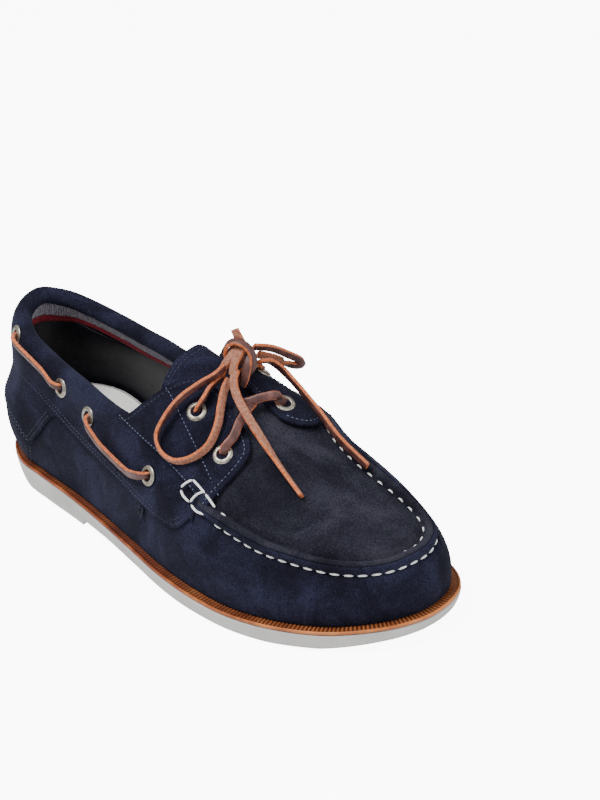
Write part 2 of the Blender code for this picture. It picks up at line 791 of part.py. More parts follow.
def insole(material):
    """The footbed: a broad top over the welt and a core that fills the space inside it."""
    def level(lift, thickness=0):
        return lambda x: welt_top(x) + lift + thickness * along_table(x, INSOLE_TOP)
    def edge(inset):
        return lambda x: along_table(x, INSOLE_TOP, 2) + inset
    rings = [
        sole_ring(INSOLE_CORE_MARGIN, level(-WELT_THICKNESS)),
        sole_ring(INSOLE_CORE_MARGIN, level(SEAT)),
        sole_ring(INSOLE_MARGIN, level(SEAT)),
        sole_ring(edge(0), level(SEAT - 0.8, 1)),
        sole_ring(edge(1.2), level(SEAT, 1)),
    ]
    return stacked_rings("insole", rings, material)


def welt(material):
    """The strip between the upper and the outsole, which stands out all round the shoe."""
    edge = (
        (WELT_WIDTH, -WELT_THICKNESS),
        (0.5, -WELT_THICKNESS),
        (0.0, -WELT_THICKNESS / 2),
        (0.4, 0.0),
        (WELT_WIDTH, 0.0),
    )
    rings = [sole_ring(margin, lambda x, lift=lift: welt_top(x) + lift) for margin, lift in edge]
    size = len(rings[0])
    faces = []
    for level in range(len(rings)):
        low, high = level * size, (level + 1) % len(rings) * size
        for k in range(size):
            after = (k + 1) % size
            faces.append((low + k, low + after, high + after, high + k))
    return solid("welt", np.vstack(rings), faces, material)


def tongue(material):
    """The tongue: a sheet under the wings and the plug, which stands up behind them."""
    rises = np.array((0.64, 0.70, 0.76, 0.82, 0.87, 0.91, 0.95, 1.0))
    lengths = np.linspace(0, 1, 12)
    sides = [(-1.0, v) for v in rises] + [(1.0, v) for v in rises[-2::-1]]
    count = len(sides) * len(lengths)
    points = np.zeros((2 * count, 3))
    for i, (side, rise) in enumerate(sides):
        round_off = 1 - ((1 - rise) / (1 - TONGUE_SIDE_RISE)) ** 3
        corner = TONGUE_OUTER_STATION if side < 0 else TONGUE_INNER_STATION
        end = corner + (TONGUE_CROWN_STATION - corner) * round_off
        station = TONGUE_FRONT + (end - TONGUE_FRONT) * lengths
        wing_edge = np.interp(rise, OPENING[9:14, 1], OPENING[9:14, 0])
        past = np.clip((wing_edge - station) / TONGUE_FLARE_RUN, 0, None)
        flare = TONGUE_FLARE * past**1.3
        surface = last_point(station, rise, side)
        way = last_normal(station, np.full(len(lengths), rise), np.full(len(lengths), side))
        rows = i * len(lengths) + np.arange(len(lengths))
        points[rows] = surface + way * (flare - TONGUE_DEPTH)[:, None]
        points[rows + count] = surface + way * (flare - TONGUE_DEPTH - TONGUE_THICKNESS)[:, None]
    faces = []
    for i in range(len(sides) - 1):
        for j in range(len(lengths) - 1):
            a = i * len(lengths) + j
            b = a + len(lengths)
            faces.append((a, b, b + 1, a + 1))
    return solid("tongue", points, thicken(faces, count), material)


def eyelet_place(name, side):
    stand, outer_station, outer_rise, inner_station, inner_rise = EYELET_TABLE[name]
    if side < 0:
        return outer_station, outer_rise, stand
    return inner_station, inner_rise, stand


def unit(vector):
    return vector / np.linalg.norm(vector, axis=-1, keepdims=True)


def strip(name, path, across, material):
    """A flat lace along a path, its width along the vectors given and its edges eased."""
    path = np.asarray(path, float)
    along = unit(np.gradient(path, axis=0))
    across = np.broadcast_to(across, path.shape)
    across = unit(across - along * (across * along).sum(-1, keepdims=True))
    through = np.cross(along, across)
    half_wide = LACE_WIDTH / 2
    half_thick = LACE_THICKNESS / 2
    section = ((1, 0), (0.7, 1), (-0.7, 1), (-1, 0), (-0.7, -1), (0.7, -1))
    rings = [path + across * a * half_wide + through * b * half_thick for a, b in section]
    size = len(section)
    points = np.stack(rings, 1).reshape(-1, 3)
    faces = [tuple(range(size)), tuple(reversed(range(len(points) - size, len(points))))]
    for k in range(len(path) - 1):
        for j in range(size):
            low, high = k * size, (k + 1) * size
            after = (j + 1) % size
            faces.append((low + j, high + j, high + after, low + after))
    return solid(name, points, faces, material)


def side_laces(material):
    """The lace's runs along the collar, from one eyelet into the next."""
    for name, first, second, sag in SIDE_LACES:
        for side, word in ((-1, "outer"), (1, "inner")):
            ends = [np.array(eyelet_place(eyelet, side)[:2]) for eyelet in (first, second)]
            stands = [eyelet_place(eyelet, side)[2] - 0.5 for eyelet in (first, second)]
            length = float(np.linalg.norm(last_point(*ends[1], side) - last_point(*ends[0], side)))
            rises = [[lift + stand * (d < 8) for d, lift in RUN_LIFT] for stand in stands]
            start = [(row[0] / length, lift) for row, lift in zip(RUN_LIFT, rises[0])]
            stop = [(1 - row[0] / length, lift) for row, lift in zip(RUN_LIFT, rises[1])]
            shape = start + stop[::-1]
            places = [ends[0] + (ends[1] - ends[0]) * u - (0, 4 * sag * u * (1 - u)) for u, _ in shape]
            sides = np.full(len(shape), float(side))
            stations, rises = np.array(places).T
            normals = last_normal(stations, rises, sides)
            surface = last_point(stations, rises, sides)
            path = surface + normals * np.array([lift for _, lift in shape])[:, None]
            strip(name + "_" + word, path, np.cross(normals, unit(surface[-1] - surface[0])), material)


def free_laces(material):
    """The bow: its loops and ends, each a strip along its own route."""
    for name, route in ROUTES.items():
        facing, tilt = FACINGS[name]
        path = np.array(route)
        along = unit(np.gradient(path, axis=0))
        facing = np.array(facing, float)
        flat = unit(np.cross(along, facing))
        turn = math.radians(tilt)
        strip(name, path, flat * math.cos(turn) + np.cross(along, flat) * math.sin(turn), material)


def arm(name, material):
    """A strip that comes up through an eyelet and leaves along its route."""
    (eyelet, side), route = ARMS[name]
    station, rise, stand = eyelet_place(eyelet, side)
    foot = last_point(station, rise, float(side))
    way = last_normal(station, rise, float(side))
    toward = np.array(route[0]) - foot
    toward = unit(toward - way * np.dot(toward, way))
    path = [foot + toward * d + way * (lift + stand - 0.5) for d, lift in RUN_LIFT[:4]]
    return strip(name, path + list(route), np.cross(way, toward), material)


def join(obj, others):
    """One closed solid from pieces that cross one another."""
    for other in others:
        SHOE.objects.unlink(other)
        CUTTERS.objects.link(other)
        other.hide_render = True
        union = obj.modifiers.new("with_" + other.name, "BOOLEAN")
        union.operation = "UNION"
        union.object = other


def knot(material):
    """The knot as one round lump, with the short end that stands out of it."""
    shape = bmesh.new()
    bmesh.ops.create_uvsphere(shape, u_segments=12, v_segments=8, radius=1.0)
    mesh = bpy.data.meshes.new("lace_knot")
    for vertex in shape.verts:
        vertex.co = Vector((np.array(vertex.co) * KNOT_SIZE + KNOT_CENTRE - ORIGIN) * MM)
    shape.to_mesh(mesh)
    shape.free()
    mesh.materials.append(material)
    mesh.shade_smooth()
    obj = bpy.data.objects.new("lace_knot", mesh)
    SHOE.objects.link(obj)
    join(obj, [strip("lace_stub", KNOT_STUB, (1.0, 1.0, 0.0), material)])


def laces(material):
    side_laces(material)
    free_laces(material)
    join(arm("lace_crossing", material), [arm("lace_crossing_lower", material)])
    arm("lace_tie_outer", material)
    arm("lace_tie_inner", material)
    knot(material)


def side_tab(material):
    """The small plain tab that hangs out from under the collar panel's lower edge."""
    rise = float(seam_rise(TAB_STATION, -1.0))
    place = place_on_upper(TAB_STATION, rise - 0.034, -1.0, SEAT + TAB_SIZE[2] / 2)
    shape = bmesh.new()
    bmesh.ops.create_cube(shape, size=1.0)
    for vertex in shape.verts:
        vertex.co = Vector(np.array(vertex.co) * TAB_SIZE * MM)
    mesh = bpy.data.meshes.new("side_tab")
    shape.to_mesh(mesh)
    shape.free()
    mesh.materials.append(material)
    obj = bpy.data.objects.new("side_tab", mesh)
    obj.matrix_world = place
    SHOE.objects.link(obj)


clear_scene()
EYELET_TABLE = {name: places for name, *places in EYELETS}
SHOE = new_collection("boat_shoe")
CUTTERS = new_collection("cutters")
SUEDE = make_material("navy_suede", (0.018, 0.022, 0.042), 0.95)
RUBBER = make_material("off_white_rubber", (0.55, 0.56, 0.56), 0.55)
WELT_LEATHER = make_material("tan_welt", (0.40, 0.13, 0.04), 0.5)
FOOTBED = make_material("pale_footbed", (0.75, 0.74, 0.72), 0.7)
NICKEL = make_material("antique_nickel", (0.52, 0.49, 0.42), 0.35, 1.0)
RAWHIDE = make_material("rawhide_lace", (0.30, 0.09, 0.04), 0.6)

outsole(RUBBER)
welt(WELT_LEATHER)
insole(FOOTBED)
punch_holes(upper_wall(SUEDE))
tongue(SUEDE)
eyelets(NICKEL)
laces(RAWHIDE)
side_tab(SUEDE)
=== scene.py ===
# %% [markdown]
# # A navy suede boat shoe
#
# The real shoe is a hand-sewn moccasin on a pale rubber sole. A suede wall wraps the foot, a suede
# plug closes its top, and a rawhide lace runs round the collar and ties in a bow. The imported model
# gives the place and size of every part. This lesson dresses it piece by piece: each piece is a
# surface worked out with numpy from the same tables as the model.

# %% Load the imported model
import math

import bpy
import numpy as np
from mathutils import Matrix


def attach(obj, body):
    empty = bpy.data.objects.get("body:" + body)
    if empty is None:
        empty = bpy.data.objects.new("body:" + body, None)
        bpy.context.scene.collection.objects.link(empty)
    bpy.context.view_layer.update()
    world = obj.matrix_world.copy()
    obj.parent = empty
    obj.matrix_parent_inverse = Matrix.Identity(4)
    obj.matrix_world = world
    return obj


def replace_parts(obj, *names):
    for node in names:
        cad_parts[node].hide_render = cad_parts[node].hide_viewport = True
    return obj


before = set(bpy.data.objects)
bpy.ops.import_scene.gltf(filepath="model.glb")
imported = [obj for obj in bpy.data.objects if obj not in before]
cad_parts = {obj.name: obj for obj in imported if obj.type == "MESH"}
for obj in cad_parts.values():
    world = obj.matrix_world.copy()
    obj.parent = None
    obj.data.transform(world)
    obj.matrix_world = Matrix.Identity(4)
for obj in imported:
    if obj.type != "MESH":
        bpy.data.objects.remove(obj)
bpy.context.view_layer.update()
MM = 0.001

# %% [markdown]
# ## Where the camera stands
#
# The picture looks down at the toe from the outer side. The shoe's own lengths give the place: the
# sole's outline and the height of the collar fit the picture only from one point in space. It is
# about a metre and a half away, in the model's own millimetres, and the camera is rolled by five
# degrees. Right, up and toward are the picture's directions, which the lace uses later.

# %% The camera
ORIGIN = np.array([149.037, -2.921, 0.0])
CAMERA_PLACE = np.array([1252.20, -802.00, 779.95])
AZIMUTH, ELEVATION, ROLL = (math.radians(a) for a in (38.0, 27.4, -5.3))

toward = np.array([
    math.cos(AZIMUTH) * math.cos(ELEVATION),
    -math.sin(AZIMUTH) * math.cos(ELEVATION),
    math.sin(ELEVATION),
])
level = np.cross(-toward, (0, 0, 1))
level /= np.linalg.norm(level)
upright = np.cross(level, -toward)
right = math.cos(ROLL) * level + math.sin(ROLL) * upright
up = math.cos(ROLL) * upright - math.sin(ROLL) * level

camera = bpy.data.objects.new("camera", bpy.data.cameras.new("camera"))
camera.data.lens = 140.2
print("the camera is", round(float(np.linalg.norm(CAMERA_PLACE - ORIGIN)) * MM, 2), "m away")
camera.data.sensor_width = 36
camera.data.clip_start = 0.05
turn = Matrix(np.column_stack([right, up, toward]).tolist()).to_4x4()
camera.matrix_world = Matrix.Translation(((CAMERA_PLACE - ORIGIN) * MM).tolist()) @ turn
bpy.context.scene.collection.objects.link(camera)
bpy.context.scene.camera = camera

# %% [markdown]
# ## Tables of the shoe
#
# Lengths are millimetres, x from the heel to the toe, y towards the inner side and z up. The
# station runs from heel (0) to toe (1) on each side, and the rise from the welt (0) to the ridge of
# the last (1). These are the model's own tables, so each new piece lands on the solid under it.

# %% Tables of the sole and the last
OUTLINE = (
    (3, 14, 13), (10, 24, 22), (30, 35, 32), (50, 38, 35), (80, 41, 34), (110, 45, 31), (140, 50, 30),
    (170, 55, 35), (200, 57, 44), (225, 55.5, 49.5), (250, 48.5, 51), (275, 35, 46), (290, 19, 36.5),
    (297, 6, 25),
)
SHOE_LENGTH = 300.0
TOE_POINT_Y = 9.0
RING_POINTS = 720
WELT_TOP = ((0, 16.5), (60, 17), (110, 15.5), (150, 14), (200, 12), (260, 12), (300, 13.5))
WELT_THICKNESS = 1.7
SEAT = 0.3
SOLE_UNDERSIDE = (
    (0, 1.0), (6, 0), (86, 0), (90, 3.4), (110, 3.2), (150, 1.4), (182, 0), (246, 0), (270, 1.1),
    (300, 5.0),
)
HEEL_BREAST = (86.0, 90.0)

# cant, wall, lean and reach have an outer and an inner column
LAST_COLUMNS = (
    "station", "ridge_x", "ridge_y", "ridge_z", "slope", "cant_o", "cant_i", "margin",
    "wall_o", "wall_i", "lean_o", "lean_i", "reach_o", "reach_i", "hollow",
)
LAST = np.array((
    (0.00, 50, 0.0, 128, 0.00, 0.00, 0.00, 3.5, 30, 30, 19.0, 19.0, 0.70, 0.70, 3.2),
    (0.10, 56, 0.0, 127, 0.00, 0.00, 0.00, 3.5, 30, 30, 19.0, 18.0, 0.56, 0.56, 4.8),
    (0.20, 72, 0.0, 124, 0.00, 0.00, 0.00, 3.5, 36, 36, 10.0, 10.0, 0.55, 0.55, 2.2),
    (0.35, 112, 0.0, 117, 0.00, 0.05, 0.05, 4.0, 46, 50, 4.0, 5.0, 0.58, 0.62, 0.0),
    (0.50, 155, 0.0, 101, 0.00, 0.12, 0.24, 4.5, 41, 64, 3.0, 4.0, 0.62, 0.90, 0.0),
    (0.60, 185, 0.0, 87, 0.00, 0.16, 0.26, 5.0, 33, 55, 3.0, 3.0, 0.66, 0.97, 0.0),
    (0.70, 213, 1.5, 73, -0.10, 0.12, 0.15, 5.0, 27, 41, 3.0, 3.0, 0.72, 0.98, 0.0),
    (0.80, 237, 4.5, 62, -0.25, 0.06, 0.06, 5.0, 23, 31, 4.0, 4.0, 0.74, 0.92, 0.0),
    (0.90, 253, 7.0, 54.5, -0.36, 0.02, 0.02, 5.0, 21, 24, 4.0, 5.0, 0.74, 0.80, 0.0),
    (1.00, 259, 8.0, 52, -0.38, 0.00, 0.00, 5.0, 21, 21, 4.5, 4.5, 0.72, 0.72, 0.0),
), float)
HOLLOW_RISE = 0.36
HOLLOW_WIDTH = 0.095

# %% [markdown]
# The edges of the pieces are tables too: a station, then the rise on the outer and the inner side.

# %% Tables of the edges
PANEL_EDGE = (
    (0.00, 0.372, 0.372), (0.08, 0.368, 0.368), (0.15, 0.355, 0.355),
    (0.24, 0.300, 0.300), (0.30, 0.258, 0.262), (0.37, 0.228, 0.235),
    (0.44, 0.221, 0.230), (0.50, 0.219, 0.232), (0.56, 0.239, 0.265),
    (0.58, 0.264, 0.300), (0.597, 0.322, 0.390), (0.610, 0.385, 0.480),
    (0.640, 0.440, 0.545),
)
TOE_SEAM = (
    (0.580, 0.452, 0.530), (0.610, 0.450, 0.560), (0.640, 0.460, 0.610), (0.680, 0.472, 0.690),
    (0.740, 0.475, 0.755), (0.800, 0.490, 0.725), (0.850, 0.498, 0.645), (0.900, 0.510, 0.550),
    (0.950, 0.532, 0.537), (1.000, 0.550, 0.550),
)
SEAM_SCALE = (
    # millimetres that a whole rise would measure at the seam, by station
    (0.58, 104, 118), (0.64, 94, 75), (0.68, 88, 68), (0.74, 79, 64), (0.80, 70, 60), (0.85, 63, 57),
    (0.90, 55, 53), (1.00, 51, 51),
)
HEEL_PATCH = (
    (0.00, 0.250), (0.06, 0.245), (0.107, 0.228), (0.145, 0.186),
    (0.184, 0.130), (0.205, 0.180), (0.252, 0.290),
)
HEEL_PATCH_END = 0.252
OPENING = np.array((
    (0.000, 0.600, 0.600), (0.050, 0.586, 0.570), (0.100, 0.568, 0.532),
    (0.150, 0.540, 0.504), (0.200, 0.508, 0.491), (0.250, 0.482, 0.482),
    (0.300, 0.466, 0.478), (0.350, 0.458, 0.468), (0.400, 0.472, 0.462),
    (0.430, 0.500, 0.478), (0.455, 0.600, 0.590), (0.475, 0.705, 0.705),
    (0.495, 0.825, 0.820), (0.515, 0.900, 0.890), (0.540, 0.928, 0.920),
    (0.600, 0.905, 0.935), (1.000, 0.905, 0.935),
), float)
WING_FRONT = (
    (0.44, 0.634, 0.634), (0.54, 0.642, 0.645), (0.64, 0.652, 0.660), (0.76, 0.660, 0.674),
    (0.85, 0.660, 0.680), (0.93, 0.650, 0.676),
)
WING_REAR = (
    (0.40, 0.462, 0.448), (0.44, 0.462, 0.450), (0.473, 0.469, 0.475), (0.52, 0.484, 0.500),
    (0.58, 0.490, 0.520), (0.64, 0.470, 0.530),
)
RISE_LENGTH = 95.0

# %% [markdown]
# ## The last as a function
#
# A last is the foot-shaped block that a shoe is built on. At each station a cubic curve climbs from
# the welt, leans out, and turns over to the ridge. The four control points come from the table, and
# every value between two rows is a smooth curve, level at both ends.

# %% Smooth tables and the outline


def ease(x, nodes_at, values):
    """Between two rows: a cubic whose slope at a row is the mean of its two neighbours' slopes."""
    nodes_at = np.asarray(nodes_at, float)
    values = np.asarray(values, float)
    x = np.clip(x, nodes_at[0], nodes_at[-1])
    step = np.diff(nodes_at)
    rate = np.diff(values) / step
    slope = np.zeros_like(values)
    slope[1:-1] = (rate[:-1] * step[1:] + rate[1:] * step[:-1]) / (step[1:] + step[:-1])
    i = np.clip(np.searchsorted(nodes_at, x, side="right") - 1, 0, len(nodes_at) - 2)
    u = (x - nodes_at[i]) / step[i]
    start = (2 * u**3 - 3 * u**2 + 1) * values[i] + (u**3 - 2 * u**2 + u) * step[i] * slope[i]
    end = (3 * u**2 - 2 * u**3) * values[i + 1] + (u**3 - u**2) * step[i] * slope[i + 1]
    return start + end


def along_table(x, table, column=1):
    """One column of a table, read off smoothly between its rows."""
    rows = np.asarray(table, float)
    return ease(x, rows[:, 0], rows[:, column])


def by_side(x, table, side):
    """The table's outer column where the side is below zero, and its inner column elsewhere."""
    return np.where(np.asarray(side) < 0, along_table(x, table, 1), along_table(x, table, 2))


def blend(x, low, high):
    """0 below low, 1 above high, and 3u^2 - 2u^3 between them."""
    u = np.clip((np.asarray(x, float) - low) / (high - low), 0, 1)
    return u * u * (3 - 2 * u)


def smooth_curve(points, per_span, closed=False):
    """A centripetal curve through the points: knots stand the square root of each span apart."""
    points = np.asarray(points, float)
    ends = np.vstack([points[-1:], points, points[:2]]) if closed else np.vstack(
        [2 * points[:1] - points[1:2], points, 2 * points[-1:] - points[-2:-1]]
    )
    u = np.linspace(0, 1, per_span, endpoint=False)[:, None]
    pieces = []
    for i in range(1, len(ends) - 2):
        before, here, after, beyond = ends[i - 1 : i + 3]
        spans = ((before, here), (here, after), (after, beyond))
        a, b, c = (math.sqrt(np.linalg.norm(q - p)) for p, q in spans)
        leave = b * ((after - here) / b - (after - before) / (a + b) + (here - before) / a)
        arrive = b * ((beyond - after) / c - (beyond - here) / (b + c) + (after - here) / b)
        start = (2 * u**3 - 3 * u**2 + 1) * here + (u**3 - 2 * u**2 + u) * leave
        pieces.append(start + (3 * u**2 - 2 * u**3) * after + (u**3 - u**2) * arrive)
    return np.vstack(pieces + [pieces[0][:1] if closed else points[-1:]])


def run_length(path):
    """How long the path is up to each of its points."""
    return np.append(0, np.cumsum(np.linalg.norm(np.diff(path, axis=0), axis=1)))


def sampled(at, places, values):
    """Rows of values, read off at new places along the straight lines between them."""
    return np.stack([np.interp(at, places, column) for column in values.T], -1)


def evenly(path, count, closed=False):
    """The same path with its points at even steps."""
    run = run_length(path)
    return sampled(np.linspace(0, run[-1], count, endpoint=not closed), run, path)


outer_side = [(x, -wide) for x, wide, _ in OUTLINE]
inner_side = [(x, wide) for x, _, wide in reversed(OUTLINE)]
corners = np.array([(0, 0)] + outer_side + [(SHOE_LENGTH, TOE_POINT_Y)] + inner_side, float)
RING = evenly(smooth_curve(corners, 24, closed=True), RING_POINTS, closed=True)
for _ in range(6):
    RING = (np.roll(RING, 1, 0) + 2 * RING + np.roll(RING, -1, 0)) / 4
TOE_SHARE = RING[:, 0].argmax() / RING_POINTS
TANGENT = np.roll(RING, -1, 0) - np.roll(RING, 1, 0)
OUTWARD = np.column_stack([TANGENT[:, 1], -TANGENT[:, 0]])
OUTWARD *= np.sign(((RING - RING.mean(0)) * OUTWARD).sum())
OUTWARD /= np.linalg.norm(OUTWARD, axis=1)[:, None]
print("the sole is", SHOE_LENGTH, "mm long and", round(float(np.ptp(RING[:, 1])), 1), "mm wide")


def ring_point(share, margin):
    """The outline at a share of its length, drawn in by a margin, and the way out there."""
    places = np.arange(RING_POINTS + 1) / RING_POINTS
    points, ways = (np.vstack([a, a[:1]]) for a in (RING, OUTWARD))
    here, way = sampled(share, places, points), sampled(share, places, ways)
    way /= np.linalg.norm(way, axis=-1, keepdims=True)
    return here - way * np.asarray(margin)[..., None], way


# %% [markdown]
# The last's surface and the way out of it are two functions that every later piece calls. A piece
# is then a range of stations and rises, with a height over the last at each.

# %% The last's surface and the way out of it


def last_point(station, rise, side):
    """(1-v)^3 foot + 3(1-v)^2 v knee + 3(1-v)v^2 shoulder + v^3 ridge, v being the rise.

    Over the heel's counter the wall draws in by hollow exp(-((v - 0.36) / 0.095)^2).
    """
    station, rise, side = np.broadcast_arrays(*(np.asarray(a, float) for a in (station, rise, side)))
    row = {name: ease(station, LAST[:, 0], LAST[:, k]) for k, name in enumerate(LAST_COLUMNS)}
    outer = side < 0
    wall, lean, reach, cant = (
        np.where(outer, row[name + "_o"], row[name + "_i"]) for name in ("wall", "lean", "reach", "cant")
    )
    share = np.where(outer, station * TOE_SHARE, 1 - station * (1 - TOE_SHARE))
    plan, way = ring_point(share, row["margin"])
    foot = np.concatenate([plan, (along_table(plan[..., 0], WELT_TOP) + SEAT)[..., None]], -1)
    ridge = np.stack([row["ridge_x"], row["ridge_y"], row["ridge_z"]], -1)
    knee = foot + np.concatenate([way * lean[..., None], wall[..., None]], -1)
    sloped = row["ridge_z"] + row["slope"] * (plan[..., 0] - row["ridge_x"])
    sloped += cant * (plan[..., 1] - row["ridge_y"])
    over_foot = np.concatenate([plan, sloped[..., None]], -1)
    shoulder = ridge + (over_foot - ridge) * reach[..., None]
    v = rise[..., None]
    curve = (1 - v) ** 3 * foot + 3 * (1 - v) ** 2 * v * knee + 3 * (1 - v) * v**2 * shoulder + v**3 * ridge
    waist = row["hollow"] * np.exp(-(((rise - HOLLOW_RISE) / HOLLOW_WIDTH) ** 2))
    return curve - np.concatenate([way, np.zeros_like(v)], -1) * waist[..., None]


def last_normal(station, rise, side):
    """The cross product of two short steps, one towards the toe and one up the wall."""
    small = 0.002
    station, rise, side = np.broadcast_arrays(*(np.asarray(a, float) for a in (station, rise, side)))
    rise = np.clip(rise, small, 0.985)
    ahead = last_point(np.clip(station + small, 0, 1), rise, side)
    behind = last_point(np.clip(station - small, 0, 1), rise, side)
    climb = last_point(station, rise + small, side) - last_point(station, rise - small, side)
    way = np.cross(ahead - behind, climb) * -side[..., None]
    return way / np.linalg.norm(way, axis=-1, keepdims=True)


def on_last(station, rise, side, lift):
    """A point so many millimetres over the last's surface."""
    lift = np.asarray(lift, float)
    return last_point(station, rise, side) + last_normal(station, rise, side) * lift[..., None]


# %% [markdown]
# ## From grids to closed pieces
#
# Every piece here is a grid of points with a front skin and a back skin. The strips that close the
# wall run along the edges that only one face uses, so a welded seam needs no strip. A volume with
# a sign says whether the faces look out, and turns them round if they don't.

# %% Helpers that make meshes


def grid_quads(index):
    """Faces between the neighbours of a grid of point numbers."""
    return np.stack([index[:-1, :-1], index[1:, :-1], index[1:, 1:], index[:-1, 1:]], -1).reshape(-1, 4)


def free_edges(quads):
    """Directed edges whose reverse belongs to no face."""
    ends = np.stack([quads, np.roll(quads, -1, 1)], -1).reshape(-1, 2)
    size = quads.max() + 1
    return ends[~np.isin(ends[:, 0] * size + ends[:, 1], ends[:, 1] * size + ends[:, 0])]


def wall_faces(quads, count):
    """The front skin, the back skin and the strips between their free edges."""
    free = free_edges(quads)
    strips = np.column_stack([free[:, 1], free[:, 0], free[:, 0] + count, free[:, 1] + count])
    return np.vstack([quads, quads[:, ::-1] + count, strips])


def volume(points, quads):
    """The sum of a . (b x c + c x d) over the faces, above zero when they look out."""
    a, b, c, d = (points[quads[:, k]] for k in range(4))
    return (a * (np.cross(b, c) + np.cross(c, d))).sum()


def add_piece(name, points, quads, material, attributes=None):
    """A mesh object from points in millimetres, riding on the shoe's one body.

    A quad that names a point twice, as at a lid's two ends, is written as a triangle.
    """
    points = np.asarray(points, float).reshape(-1, 3)
    if volume(points - points.mean(0), quads) < 0:
        quads = quads[:, ::-1]
    twice = (quads == np.roll(quads, -1, 1)).any(1)
    faces = quads[~twice].tolist() + [list(dict.fromkeys(face)) for face in quads[twice].tolist()]
    mesh = bpy.data.meshes.new(name)
    mesh.from_pydata(((points - ORIGIN) * MM).tolist(), [], faces)
    for key, values in (attributes or {}).items():
        layer = mesh.attributes.new(key, "FLOAT", "POINT")
        layer.data.foreach_set("value", np.ravel(values).astype("f"))
    mesh.materials.append(material)
    mesh.shade_smooth()
    obj = bpy.data.objects.new(name, mesh)
    bpy.context.scene.collection.objects.link(obj)
    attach(obj, "root")
    print("made", name, "with", len(faces), "faces")
    return obj


def add_slab(name, front, back, material, index=None):
    """A slab of suede or cloth from two grids of points: its face and its back."""
    count = front[..., 0].size
    if index is None:
        index = np.arange(count).reshape(front.shape[:2])
    points = np.vstack([front.reshape(-1, 3), back.reshape(-1, 3)])
    return add_piece(name, points, wall_faces(grid_quads(index), count), material)


def tube_quads(rings, around):
    """The faces of a tube that is shut at both ends: its points go round ring by ring."""
    index = np.arange(rings * around).reshape(rings, around)
    half = around // 2
    first, last = (
        grid_quads(np.column_stack([cap[:half], cap[::-1][:half]])) for cap in (index[0], index[-1])
    )
    return np.vstack([grid_quads(np.hstack([index, index[:, :1]])), first, last[:, ::-1]])


def ring_quads(rings, around):
    """The faces of a ring with a closed section: both directions come round again."""
    index = np.arange(rings * around).reshape(rings, around)
    index = np.vstack([index, index[:1]])
    return grid_quads(np.hstack([index, index[:, :1]]))


def steps_to_edge(grid):
    """For each point, how many millimetres away the grid's nearest border is, along the grid."""
    far = np.full(grid.shape[:2], 1e9)
    for axis in (0, 1):
        gap = np.linalg.norm(np.diff(grid, axis=axis), axis=-1)
        zero = np.zeros_like(np.take(gap, [0], axis))
        run = np.concatenate([zero, np.cumsum(gap, axis)], axis)
        far = np.minimum(far, np.minimum(run, np.take(run, [-1], axis) - run))
    return far


def rounded(away, radius):
    """A cut edge that rounds over: sqrt(1 - (1 - away / radius)^2), 0 at the edge and 1 inside."""
    return np.sqrt(1 - (1 - np.clip(away / radius, 0, 1)) ** 2)


NEAR_EDGE = np.array([0, 0.08, 0.25, 0.5, 0.9, 1.4, 1.9, 2.4, 3.0, 3.7])


def shares(count, length, end=True):
    """Shares of a length in millimetres: even steps, with close ones beside a cut edge."""
    first = NEAR_EDGE / length
    last = 1 - NEAR_EDGE[::-1] / length if end else np.array([1.0])
    middle = np.linspace(first[-1], last[0], count + 2)[1:-1]
    return np.concatenate([first, middle, last])


def round_the_heel(count, last_station):
    """Columns from the outer side round the heel to the inner side: station and side."""
    walk = np.linspace(-1, 1, count)
    return np.abs(walk) * last_station, np.where(walk <= 0, -1.0, 1.0)


def down_rows(grid, *columns):
    """The values of the columns, each repeated down its rows."""
    return [np.broadcast_to(values[:, None], grid.shape) for values in columns]


# %% [markdown]
# ## A way to write materials
#
# A material starts from what the real one is. Its numbers that are the same all over stay on the
# shader, and only what changes from place to place comes from nodes.

# %% Helpers for materials


def linear(colour):
    """An sRGB hex colour as linear light."""
    value = np.array([int(colour[k : k + 2], 16) / 255 for k in (1, 3, 5)])
    return (*np.where(value <= 0.04045, value / 12.92, ((value + 0.055) / 1.055) ** 2.4), 1.0)


def new_material(name, **settings):
    """A Principled material with these values on the shader's own sockets."""
    material = bpy.data.materials.new(name)
    material.use_nodes = True
    shader = material.node_tree.nodes["Principled BSDF"]
    for socket, value in settings.items():
        shader.inputs[socket.replace("_", " ")].default_value = value
    return material, shader


def scale_of(size):
    """A pattern's scale from the size of its grain in millimetres: how many fit into a metre."""
    return 1 / (size * MM)


def add_node(material, kind, inputs=None, stops=(), **settings):
    """A node with its settings, its values and its links. A link is given as an output socket.

    A colour ramp has stops too, each a place and an sRGB hex colour.
    """
    node = material.node_tree.nodes.new("ShaderNode" + kind)
    for key, value in settings.items():
        setattr(node, key, value)
    for key, value in (inputs or {}).items():
        if isinstance(value, bpy.types.NodeSocket):
            material.node_tree.links.new(value, node.inputs[key])
        else:
            node.inputs[key].default_value = value
    if stops:
        elements = node.color_ramp.elements
        while len(elements) < len(stops):
            elements.new(0.5)
        for element, (place, colour) in zip(elements, stops):
            element.position = place
            element.color = linear(colour)
    return node


def feed(shader, socket, output):
    """Lets a node's output drive one of the shader's sockets."""
    shader.id_data.links.new(output, shader.inputs[socket])


def mottled(name, noise, stops, **settings):
    """A material whose colour follows a noise. Also gives its shader, its place and that noise."""
    material, shader = new_material(name, **settings)
    place = add_node(material, "TexCoord").outputs["Object"]
    cloud = add_node(material, "TexNoise", {"Vector": place, **noise}).outputs[0]
    feed(shader, "Base Color", add_node(material, "ValToRGB", {"Fac": cloud}, stops).outputs["Color"])
    return material, shader, place, cloud
